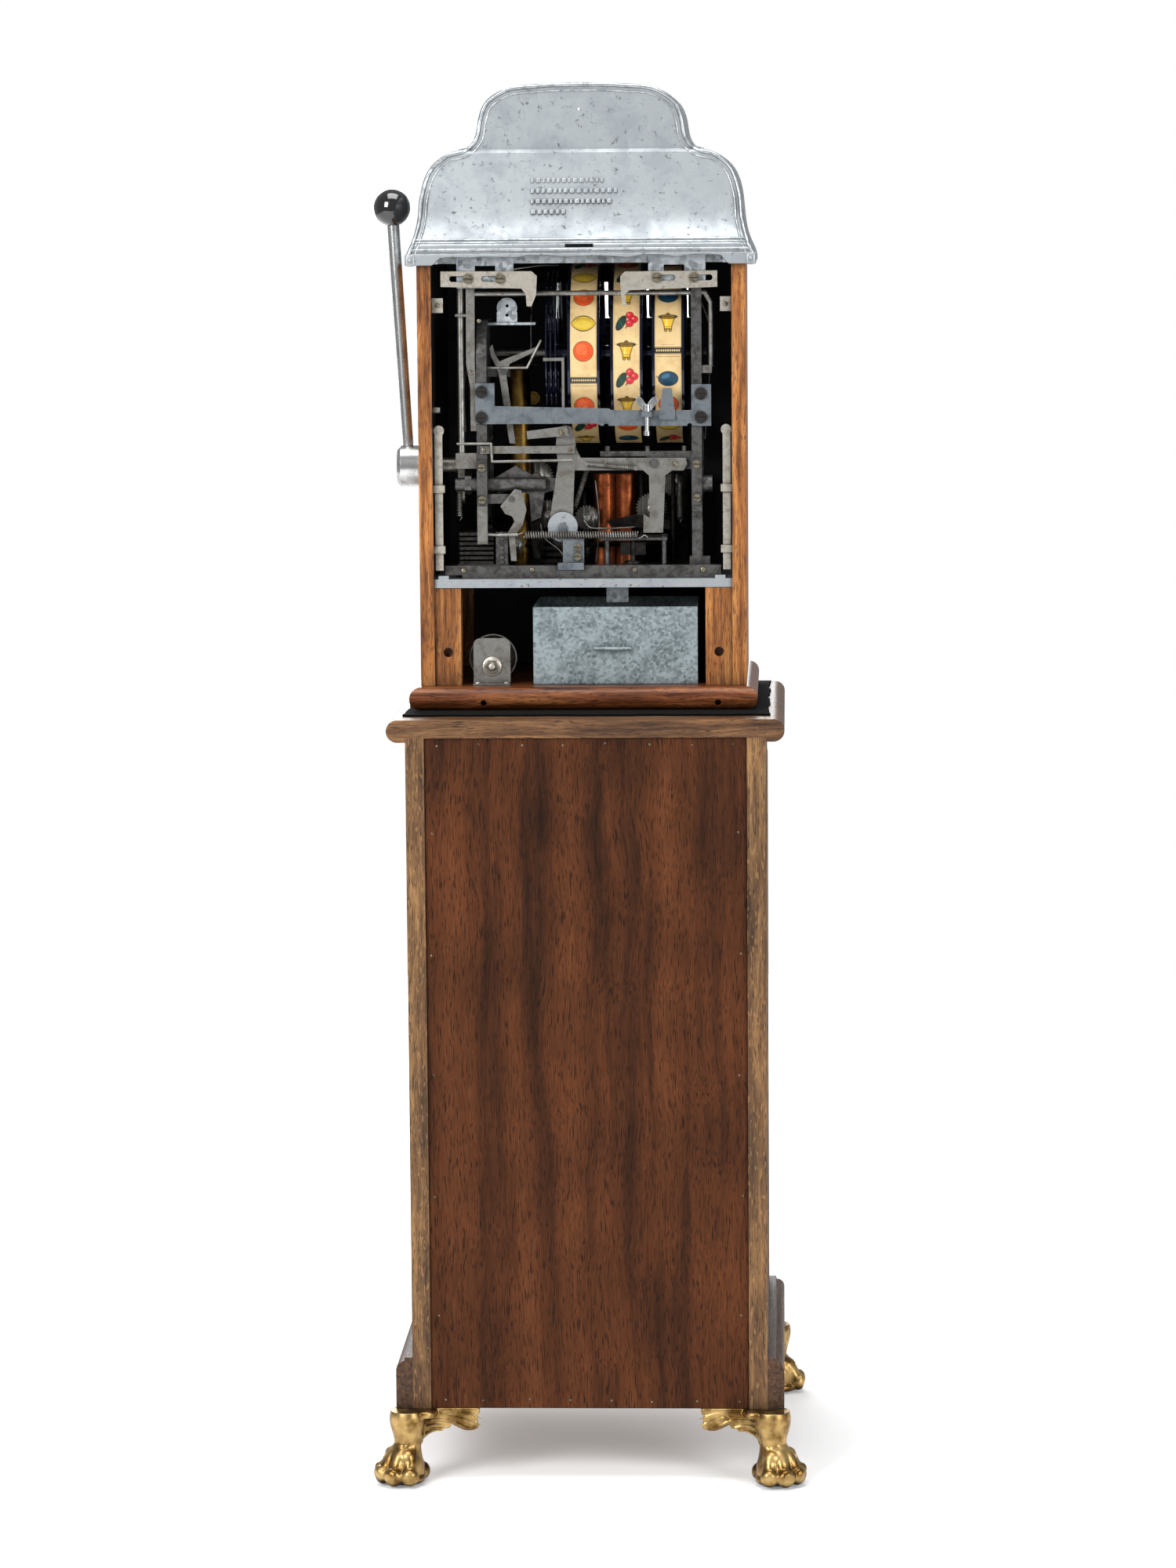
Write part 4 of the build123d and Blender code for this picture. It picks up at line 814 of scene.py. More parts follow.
class Finishes:
    """Every material, built once, and which one each CAD node wears."""

    PANEL_KNOTS = (
        (-8, 211, 822, 13), (2, 211, 720, 9), (24, 211, 425, 10), (-132, 211, 398, 12),
        (131, 211, 601, 9), (-20, 211, 560, 7), (60, 211, 250, 8), (-150, 211, 640, 6),
    )
    CASE_KNOTS = ((-180, 113, 1200, 8), (186, 113, 1010, 7), (-182, 113, 1130, 6))

    def __init__(self) -> None:
        """Builds the materials."""
        self.woods()
        self.cast_and_coated()
        self.steels()
        self.others()

    def woods(self) -> None:
        """Builds the boards' finishes."""
        # Walnut veneer, planed and oiled: brown, with dark drawn-out smudges beside its knots.
        self.walnut = Wood(
            "oiled_walnut", "1C0E06", "4E2A15", "5C341C", ring=42, fibre=1.0, gloss=0.6,
            knots=self.PANEL_KNOTS, grime_and_shade=0.55, shine=0.1,
        ).material()
        # Fumed oak, waxed: pale streaks over brown, with open pores and flecks.
        self.oak_upright = Wood(
            "waxed_oak_upright", "2E1D0F", "68492C", "957046", ring=9, fibre=0.9, grime_and_shade=0.5, flake=True
        ).material()
        # The same oak laid flat on top, a little darker and smoother from handling.
        self.oak_top = Wood(
            "waxed_oak_top", "2E1B0F", "62432A", "926C46", Grain.ACROSS, ring=8, fibre=0.9, gloss=0.38, grime_and_shade=0.5
        ).material()
        # The moulding shows its sawn end to the rear: darker, dull and close-pored.
        self.moulding = Wood(
            "stained_oak_moulding", "1F130B", "4A3120", "6B4B30", Grain.DEEP, ring=5, fibre=0.8, grime_and_shade=0.5
        ).material()
        # Case of red-brown oak whose shellac has worn to orange; its inner walls are blackened as painted shade.
        self.case = Wood(
            "shellacked_case_oak", "4A240F", "9A602E", "C48C50", ring=7, fibre=0.8, gloss=0.38,
            knots=self.CASE_KNOTS, lining=(5, 174.3, 1052),
        ).material()
        # Mahogany, stained and polished: red-brown, with a soft shine along its rounded edge.
        self.plinth = Wood(
            "mahogany_plinth", "2A1108", "733E20", "A4693E", Grain.ACROSS, ring=7, fibre=0.9, gloss=0.28
        ).material()

    def cast_and_coated(self) -> None:
        """Builds the castings, the zinc, the copper and the brasses."""
        # Sand-cast aluminium, buffed: grey, cloudy, with painted shade in the corners.
        self.alloy = Metal(
            "buffed_cast_aluminium", "A3A8AB", "92979B", "2A2723", patch=34, rough=0.47, spread=0.12,
            pit=1.3, relief=0.3, recess_shade=0.85, specks=0.16,
        ).material()
        # The same casting where a wheel has polished its raised beads: pale and nearly mirror-like.
        self.bright_alloy = Metal(
            "polished_aluminium_bead", "C4C8CB", "8E9498", "242220", patch=9, rough=0.26, spread=0.14,
            pit=0.8, relief=0.12, recess_shade=0.9, specks=0.1,
        ).material()
        # Galvanised plate: large pale crystals, with painted shade in its hollows.
        self.plate_zinc = Galvanised("galvanised_plate", "7B8084", "BCC2C5", 5.5, 0.34).material()
        # Older galvanised sheet: small crystals gone dull and dark.
        self.box_zinc = Galvanised("galvanised_box", "5E686B", "98A3A6", 3.2, 0.5).material()
        # Grey cast iron, sand-cast and oiled: dark, grainy, with a dull shine on its faces.
        self.iron = Metal(
            "oiled_cast_iron", "626160", "3E3C3A", "14110E", patch=10, rough=0.4, pit=1.1, relief=0.35,
            recess_shade=0.8, specks=0.25,
        ).material()
        # Copper sheet, tarnished: red-brown with dark clouds.
        self.copper = Metal(
            "tarnished_copper", "B4643C", "6E321C", "1C0E08", patch=20, rough=0.3, spread=0.22,
            relief=0.15, recess_shade=0.75, specks=0.2, corner=12,
        ).material()
        # Drawn brass left to go brown, cast brass polished on its high places, and lacquered brass, each with
        # painted shade in its folds; the cast brass's bright and dark clouds stand in part for painted reflections.
        self.tube_brass = Brass("dull_brass_tube", "9C7B3E", "5F4620", "1F150A", 20).material()
        self.paw_brass = Brass("polished_cast_brass", "C0A068", "6F5229", "1A1108", 16).material()
        self.front_brass = Brass("lacquered_brass", "CDA658", "A9833F", "3A280F", 5).material()

    def steels(self) -> None:
        """Builds the steels, from bright nickel plate to soot."""
        # Machined steel, cold-rolled and oiled: brownish specks, and brownish painted shade in its corners.
        self.steel = Metal(
            "oiled_mild_steel", "94928D", "6A665F", "1E1710", patch=16, rough=0.34, spread=0.14,
            pit=0.8, relief=0.2, recess_shade=0.9, specks=0.22, corner=9,
        ).material()
        # Rolled steel plate with its mill skin: mottled blue-grey.
        self.blue_steel = Metal(
            "mottled_rolled_steel", "8A9196", "5E656B", "1E1A17", patch=15, rough=0.33, spread=0.14,
            pit=0.7, relief=0.2, recess_shade=0.85, specks=0.1, corner=8,
        ).material()
        # Pressed steel with worn nickel: warm and pale, speckled where the plating has gone.
        self.pale_steel = Metal(
            "nickelled_steel", "C8C2B6", "9E968A", "2A2016", patch=9, rough=0.32, spread=0.18, pit=0.8,
            relief=0.3, recess_shade=0.9, specks=0.16, corner=8,
        ).material()
        # Turned screw heads, handled and rusted: brown specks, and brown painted shade in the slots and round the
        # rims.
        self.screw_steel = Metal(
            "worn_screw_steel", "8A8270", "544D40", "120D08", patch=4, rough=0.34, pit=0.6, relief=0.3,
            recess_shade=0.95, corner=5,
        ).material()
        # Heat-blackened steel: nearly black with a dull sheen.
        self.dark_steel = Metal(
            "blackened_steel", "3C3A38", "252321", "0E0C0A", patch=8, pit=0.7, relief=0.3, recess_shade=0.6, specks=0.25
        ).material()
        # Nickel plate, buffed: bright and warm, hardly pitted.
        self.nickel = Metal(
            "nickel_plate", "C9C9C8", "A3A3A1", "33302B", patch=22, rough=0.18, spread=0.12, pit=0.6,
            relief=0.08, recess_shade=0.6, specks=0.06,
        ).material()
        # Painted shade: flat, dusty near-black on sheet steel, for the inside of the front casting.
        self.shade_black = Metal(
            "black_japanned_sheet", "100F0E", "0A0908", "040303", patch=20, rough=0.6, spread=0.1,
            relief=0.2, recess_shade=0.5, specks=0.1, metallic=0.0,
        ).material()
        # Steel deep in the works under old oil and dust: no shine left.
        self.soot = Metal(
            "sooty_steel", "23211F", "171514", "070605", patch=8, rough=0.55, relief=0.3, recess_shade=0.6
        ).material()

    def others(self) -> None:
        """Builds the felt, the ball, the reels' enamel, the papers and the glass."""
        # Pressed wool felt, cut with shears: black and quite without shine.
        self.felt = Felt("pressed_black_wool", "020203", "131211").material()
        # Moulded phenolic resin, polished: jet black under a deep shine.
        self.ball = Gloss("black_phenolic", "050505", "0A0908", 0.08, clear=1.0, clear_rough=0.02).material()
        # Pressed steel, blued and varnished: blue-black that flashes where it turns.
        self.reel = Gloss("blued_steel_reel", "0A0C1A", "141B3A", 0.16, 0.7, 0.5, 0.05).material()
        # Varnished paper and printed card: inks gone warm, with brown age spots.
        self.paper = Paper("varnished_paper", "ink", "A97B45").material()
        self.card = Paper("printed_card", "ink", "B08A58").material()
        # Drawn window glass: clear, faintly green.
        self.glass = Glass("window_glass", "EEF5F0").material()

    def by_node(self) -> dict[str, bpy.types.Material]:
        """Says which material each CAD node wears."""
        worn = {
            self.walnut: ("stand_rear_panel",),
            self.oak_upright: ("stand_frame", "stand_panels", "stand_door"),
            self.oak_top: ("stand_top_board", "top_moulding"),
            self.moulding: ("base_moulding",),
            self.case: ("case_sides", "shelf_posts"),
            self.plinth: ("plinth",),
            self.alloy: ("hood", "front_casting", "shelf", "payout_cup", "roller"),
            self.plate_zinc: ("latch_plates", "coin_bracket", "coin_chute"),
            self.box_zinc: ("coin_box",),
            self.iron: (
                "mechanism_base", "side_frame_left", "side_frame_right", "bearing_caps", "rocker", "governor_frame",
            ),
            self.steel: ("main_lever", "fork_lever", "upright_rods", "reel_shaft", "gong", "kicker"),
            self.blue_steel: ("cross_plate", "roller_bracket"),
            self.pale_steel: (
                "latch_arm_left", "latch_arm_right", "bar_guides", "lock_bar_left", "lock_bar_right",
                "operating_shaft",
            ),
            self.screw_steel: ("slotted_screws",),
            self.dark_steel: ("star_screws", "payout_slides", "governor_fan", "foot_screws", "main_spring"),
            self.nickel: ("handle_lever", "handle_bushing", "wing_bolt"),
            self.copper: ("copper_shield",),
            self.tube_brass: ("coin_tube",),
            self.paw_brass: ("paw_feet",),
            self.front_brass: ("door_knob", "front_fittings", "return_button"),
            self.felt: ("felt_mat",),
            self.ball: ("handle_ball",),
            self.reel: ("reel_1", "reel_2", "reel_3"),
            self.glass: ("window_glass",),
        }
        return {node: material for material, nodes in worn.items() for node in nodes}


# ---- Studio ---------------------------------------------------------------------------------
@dataclass(frozen=True)
class Studio:
    """A pale floor, soft lamps and the camera, which stands behind the machine's open rear."""

    eye: tuple[float, float, float] = (-0.23545, 5.79303, 1.50166)
    lens: float = 112.18
    yaw: float = 0.0416
    pitch: float = 0.121
    roll: float = -0.0078
    floor_reach: float = 3.5
    sky_light: float = 0.42

    def camera(self) -> None:
        """Turns three square axes by yaw, pitch and roll in turn and gives them to a camera."""
        ahead, right, up = np.array((0.0, -1, 0)), np.array((-1.0, 0, 0)), np.array((0.0, 0, 1))
        c, s = math.cos(self.yaw), math.sin(self.yaw)
        swing = np.array(((c, -s, 0), (s, c, 0), (0, 0, 1)))
        ahead, right = swing @ ahead, swing @ right
        c, s = math.cos(self.pitch), math.sin(self.pitch)
        ahead, up = c * ahead - s * up, s * ahead + c * up
        c, s = math.cos(self.roll), math.sin(self.roll)
        right, up = c * right + s * up, c * up - s * right
        data = bpy.data.cameras.new("rear_camera")
        data.lens = self.lens
        data.sensor_width = 36
        data.clip_end = 200
        camera = bpy.data.objects.new("rear_camera", data)
        bpy.context.scene.collection.objects.link(camera)
        turn = Matrix(np.column_stack([right, up, -ahead]).tolist()).to_4x4()
        camera.matrix_world = Matrix.Translation(self.eye) @ turn
        bpy.context.scene.camera = camera

    def floor(self) -> None:
        """Lays a wide pale floor of smooth painted board."""
        shape = Shape()
        side = np.linspace(-1, 1, 25)
        x, y = np.meshgrid(side, side, indexing="ij")
        reach = self.floor_reach / MM
        shape.take(np.stack([x * reach, y * reach, 0 * x], -1), grid_faces(25, 25))
        floor = shape.piece("studio_floor")
        floor.data.flip_normals()
        g = Graph("painted_board")
        cloud = g.add("TexNoise", {"Scale": 0.6, "Detail": 2.0}, {"Vector": g.where})
        tone = g.add("MixRGB", {"Color1": linear("F7F7F7"), "Color2": linear("FAFAFA")}, {"Fac": cloud})
        g.feed(Base_Color=tone)
        g.fix(Roughness=0.9, Specular_IOR_Level=0.0, Emission_Color=linear("FFFFFF"), Emission_Strength=0.2)
        floor.data.materials.append(g.material)

    def lamp(
        self,
        name: str,
        place: tuple[float, float, float],
        aim: tuple[float, float, float],
        size: tuple[float, float],
        power: float,
    ) -> None:
        """Hangs one soft box.

        Args:
            name: the lamp's name.
            place: where it hangs.
            aim: the point that it faces.
            size: its width and height.
            power: its watts.
        """
        data = bpy.data.lights.new(name, "AREA")
        data.shape = "RECTANGLE"
        data.size, data.size_y = size
        data.energy = power
        lamp = bpy.data.objects.new(name, data)
        bpy.context.scene.collection.objects.link(lamp)
        ahead = np.array(aim) - np.array(place)
        ahead = ahead / np.linalg.norm(ahead)
        right = np.cross(ahead, (0, 0, 1))
        right = right / np.linalg.norm(right)
        turn = Matrix(np.column_stack([right, np.cross(right, ahead), -ahead]).tolist()).to_4x4()
        lamp.matrix_world = Matrix.Translation(place) @ turn

    def build(self) -> None:
        """Sets the camera, the floor, the lamps and a white sky."""
        self.camera()
        self.floor()
        middle = (0.0, 0.0, 0.95)
        self.lamp("key_softbox", (2.4, 3.4, 2.7), middle, (1.6, 2.2), 150)
        self.lamp("fill_softbox", (-2.9, 3.0, 1.7), middle, (1.4, 2.4), 85)
        self.lamp("top_softbox", (0.0, 0.6, 3.9), middle, (2.2, 1.8), 70)
        self.lamp("player_softbox", (0.8, -3.8, 2.2), middle, (2.4, 2.4), 110)
        self.sky()
        bpy.context.scene.view_settings.view_transform = "Standard"

    def sky(self) -> None:
        """A white backdrop to the eye whose light on the object is dimmer, so that hollows stay dark."""
        world = bpy.data.worlds.new("white_room")
        bpy.context.scene.world = world
        world.use_nodes = True
        tree = world.node_tree
        seen = tree.nodes["Background"]
        seen.inputs["Color"].default_value = (1, 1, 1, 1)
        lit = tree.nodes.new("ShaderNodeBackground")
        lit.inputs["Color"].default_value = linear("F4F7FA")
        lit.inputs["Strength"].default_value = self.sky_light
        ray = tree.nodes.new("ShaderNodeLightPath")
        mix = tree.nodes.new("ShaderNodeMixShader")
        tree.links.new(ray.outputs["Is Camera Ray"], mix.inputs[0])
        tree.links.new(lit.outputs[0], mix.inputs[1])
        tree.links.new(seen.outputs[0], mix.inputs[2])
        tree.links.new(mix.outputs[0], tree.nodes["World Output"].inputs[0])


# ---- Assemblies -----------------------------------------------------------------------------
@dataclass
class Assembly:
    """A sub-assembly, whose pieces are placed in the machine's own coordinates and wear its finishes.

    Args:
        lay: the machine's own coordinates.
        finishes: every material.
    """

    lay: Layout
    finishes: Finishes

    def curve(self, points: tuple, count: int) -> np.ndarray:
        """Gives a soft curve through points.

        Args:
            points: across, depth and height of each.
            count: how many points the curve gets.

        Returns:
            The curve's points in the model's own millimetres.
        """
        return smooth_line([tuple(self.lay.at(*point)) for point in points], count)


def give_ink(piece: bpy.types.Object, colour: np.ndarray) -> None:
    """Writes a linear colour for each of a piece's points to its ink attribute."""
    ink = piece.data.color_attributes.new("ink", "FLOAT_COLOR", "POINT")
    flat = colour.reshape(-1, 3)
    ink.data.foreach_set("color", np.concatenate([flat, np.ones((len(flat), 1))], 1).ravel())


# ---- Felt mat -------------------------------------------------------------------------------
@dataclass
class FeltMat(Assembly):
    """The cut felt that the machine stands on: a flat sheet with ragged edges."""

    thickness: float = 2.2
    raggedness: float = 2.4
    step: float = 2.2
    # The waves along an edge, in turns of a radian for each millimetre.
    waves: tuple = (0.05, 0.11, 0.23, 0.47, 0.9, 1.7)
    edge_power: int = 30
    seed: int = 5

    def wander(self, along: np.ndarray, phases: np.ndarray) -> np.ndarray:
        """Sums the waves along an edge, each weaker than the last, to within about one."""
        pairs = enumerate(zip(self.waves, phases))
        return sum(np.sin(along * wave + phase) / (1 + k) for k, (wave, phase) in pairs) / 1.9

    def build(self) -> None:
        """Lays a grid of points whose edges wander by a sum of waves, and thickens it."""
        low, high = node_box("felt_mat")
        size = high - low
        rows, cols = int(size[0] / self.step), int(size[1] / self.step)
        u, v = np.meshgrid(np.linspace(-1, 1, rows), np.linspace(-1, 1, cols), indexing="ij")
        half = size[:2] / 2 - self.raggedness
        middle = (low + high) / 2
        draw = np.random.default_rng(self.seed)
        phase = draw.uniform(0, 6.28, (2, 6))
        x, y = u * half[0], v * half[1]
        wander_x, wander_y = self.wander(y, phase[0]), self.wander(x, phase[1])
        x = x + np.abs(u) ** self.edge_power * np.sign(u) * wander_x * self.raggedness
        y = y + np.abs(v) ** self.edge_power * np.sign(v) * wander_y * self.raggedness
        z = low[2] + self.thickness + 0.25 * (0.5 + 0.5 * np.sin(x * 0.13 + phase[0, 0]) * np.sin(y * 0.17))
        shape = Shape()
        shape.take(np.stack([x + middle[0], y + middle[1], z], -1), grid_faces(rows, cols)[:, ::-1])
        mat = shape.piece("felt_sheet")
        if mat.data.polygons[0].normal.z < 0:
            mat.data.flip_normals()
        thick = mat.modifiers.new("thickness", "SOLIDIFY")
        thick.thickness = self.thickness * MM
        thick.offset = -1
        settle(mat, "base", self.finishes.felt)
        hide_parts("felt_mat")


# ---- Paw feet -------------------------------------------------------------------------------
@dataclass
class PawFeet(Assembly):
    """Four cast lion paws: hock, knuckles and toes under a plate with two leafy wings."""

    height: float = 86.5
    voxel: float = 1.25
    fur_depth: float = 0.7
    # Each toe's turn from the corner's diagonal, in degrees.
    toe_angles: tuple = (-50.0, -17.0, 17.0, 50.0)
    # Distance out, height and radius along a toe.
    toe: tuple = (
        (8, 33, 10), (17, 34, 11), (25, 28, 9.2), (30, 20, 9.2), (35, 14, 11.8), (40, 12.6, 11), (44, 11.5, 7.5)
    )
    # The same along the leg from the plate to the sole, the two leaves of a wing and their raised veins.
    leg: tuple = (
        (9, 88, 19), (9, 79, 21), (9, 69, 20), (9, 57, 17), (9, 47, 16), (11, 38, 18.5), (13, 28, 22), (13, 13, 23),
    )
    upper_lobe: tuple = ((0, 74, 11), (22, 77, 9), (40, 77.5, 8), (54, 73.5, 11), (66, 71, 12.5), (75, 72, 10))
    lower_lobe: tuple = ((-4, 50, 13), (8, 60, 11), (22, 67, 9), (34, 69, 8.6), (44, 68, 6))
    veins: tuple = (
        ((2, 64, 1.5), (20, 72, 1.7), (42, 72, 1.7), (60, 64, 1.4), (68, 61, 1.0)),
        ((2, 70, 1.5), (24, 77, 1.7), (48, 76, 1.8), (70, 69, 1.4), (80, 66, 1.0)),
        ((8, 78, 1.3), (36, 81, 1.5), (60, 80, 1.6), (80, 74, 1.1)),
        ((-4, 54, 1.4), (10, 62, 1.6), (26, 66, 1.5), (40, 63, 1.0)),
        ((0, 46, 1.3), (12, 54, 1.5), (26, 60, 1.5), (36, 60, 1.0)),
    )

    def place(self, out: np.ndarray, side: np.ndarray, z: np.ndarray) -> np.ndarray:
        """Turns outwards-along-the-diagonal, sideways and height to the corner's own two directions."""
        out, side, z = np.broadcast_arrays(np.asarray(out, float), side, z)
        return np.stack([(out + side) / math.sqrt(2), (out - side) / math.sqrt(2), z], -1)

    def wing(self, shape: Shape, line: np.ndarray, proud: float, thin: float, swap: bool, sides: int) -> None:
        """Lays one flattened round section along a side of the stand.

        Args:
            shape: where the surface goes.
            line: rows of the distance from the corner, the height and the radius.
            proud: how far its middle lies outside the corner's own face.
            thin: its thickness over its height.
            swap: whether it lies along the other side.
            sides: how many points go round.
        """
        path = np.stack([-line[:, 0], np.full(len(line), proud), line[:, 1]], -1)
        path = path[:, [1, 0, 2]] if swap else path
        tube(shape, path, line[:, 2], sides, (0, 0, 1), thin)

    def rough(self) -> bpy.types.Object:
        """Gathers tubes and rounded lumps that overlap, before they are fused."""
        shape = Shape()
        leg = np.array(self.leg, float)
        line = smooth_line([tuple(row) for row in leg], 40)
        tube(shape, self.place(line[:, 0], 0.0, line[:, 1]), line[:, 2], 28)
        for angle in self.toe_angles:
            a = math.radians(angle)
            reach, girth = 1.0 - 0.1 * abs(math.sin(a)), 1.0 if abs(angle) < 30 else 0.93
            toe = smooth_line([(out * reach, up, radius * girth) for out, up, radius in self.toe], 26)
            along, beside = 6 + toe[:, 0] * math.cos(a), toe[:, 0] * math.sin(a) * 0.96
            tube(shape, self.place(along, beside, toe[:, 1]), toe[:, 2], 20)
        for sideways in (-13.0, 13.0):
            knuckle = self.place(20.0, sideways, 33.0)
            pillow(shape, knuckle - 10.5, knuckle + 10.5, 1.0, 14, 20)
        heel = self.place(-6.0, 0.0, 11.0)
        pillow(shape, heel - (15, 15, 11), heel + (15, 15, 12), 0.9, 14, 20)
        sole = self.place(14.0, 0.0, 6.0)
        pillow(shape, sole - (25, 25, 6), sole + (25, 25, 9), 0.8, 14, 28)
        collar = self.place(-4.0, 0.0, 83.0)
        pillow(shape, collar - (26, 26, 7), collar + (22, 22, 5), 0.6, 14, 28)
        for swap in (False, True):
            for lobe, thin in ((self.upper_lobe, 0.42), (self.lower_lobe, 0.5)):
                line = smooth_line(lobe, 34)
                self.wing(shape, line, -5.5, thin, swap, 18)
            for vein in self.veins:
                self.wing(shape, smooth_line(vein, 26), -1.0, 1.0, swap, 8)
            low, high = np.array((-78.0, -11.0, 78.5)), np.array((2.0, -1.4, self.height + 0.5))
            if swap:
                low, high = low[[1, 0, 2]], high[[1, 0, 2]]
            pillow(shape, low, high, 0.2, 14, 28)
        return shape.piece("paw_rough")

    def fused(self) -> tuple[np.ndarray, list]:
        """Fuses the lumps on a fine grid, smooths the joins and cuts fur lines.

        Returns:
            Points in millimetres and faces of one foot in its corner's own directions.
        """
        rough = self.rough()
        skin = rough.modifiers.new("fuse", "REMESH")
        skin.mode = "VOXEL"
        skin.voxel_size = self.voxel * MM
        soft = rough.modifiers.new("soften", "SMOOTH")
        soft.factor = 0.5
        soft.iterations = 4
        bpy.context.view_layer.update()
        mesh = bpy.data.meshes.new_from_object(rough.evaluated_get(bpy.context.evaluated_depsgraph_get()))
        verts = np.zeros(len(mesh.vertices) * 3)
        mesh.vertices.foreach_get("co", verts)
        verts = verts.reshape(-1, 3) / MM
        normals = np.zeros(len(mesh.vertices) * 3)
        mesh.vertices.foreach_get("normal", normals)
        normals = normals.reshape(-1, 3)
        faces = [list(p.vertices) for p in mesh.polygons]
        bpy.data.objects.remove(rough)
        out = (verts[:, 0] + verts[:, 1]) / math.sqrt(2)
        side = (verts[:, 0] - verts[:, 1]) / math.sqrt(2)
        z = verts[:, 2]
        angle = np.arctan2(side, out + 8)
        on_leg = np.exp(-(((z - 50) / 15) ** 4)) * (np.hypot(side, out + 2) < 27)
        fur = np.abs(np.sin(angle * 9 + z * 0.12 + 0.8 * np.sin(z * 0.16 + angle * 3))) ** 0.6
        between = np.exp(-(((z - 24) / 10) ** 4)) * (out > 12)
        strand = np.abs(np.sin(side * 0.62 + 0.4 * np.sin(z * 0.3))) ** 0.5
        cut = (1 - fur) * on_leg * self.fur_depth + (1 - strand) * between * 0.35
        verts = verts - normals * cut[:, None]
        verts[:, 2] = np.clip(verts[:, 2], 0.0, self.height - 0.05)
        return verts, faces

    def build(self) -> None:
        """Puts the same casting at each corner, mirrored where the corner is."""
        low, high = node_box("stand_frame")
        verts, faces = self.fused()
        names = {(1, 1): "rear_left", (-1, 1): "rear_right", (1, -1): "front_left", (-1, -1): "front_right"}
        for (sx, sy), corner in names.items():
            spot = np.array((high[0] if sx > 0 else low[0], high[1] if sy > 0 else low[1], 0.0))
            placed = verts * (sx, sy, 1) + spot
            turned_faces = faces if sx * sy > 0 else [f[::-1] for f in faces]
            foot = make_mesh(f"paw_foot_{corner}", placed, turned_faces)
            settle(foot, "base", self.finishes.paw_brass)
            if corner == "rear_left":
                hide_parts("paw_feet")


# ---- Reel strips ----------------------------------------------------------------------------
class Symbol(Enum):
    """The pictures on a strip."""

    LEMON = "lemon"
    ORANGE = "orange"
    CHERRIES = "cherries"
    BELL = "bell"
    PLUM = "plum"
    DIVIDER = "divider"


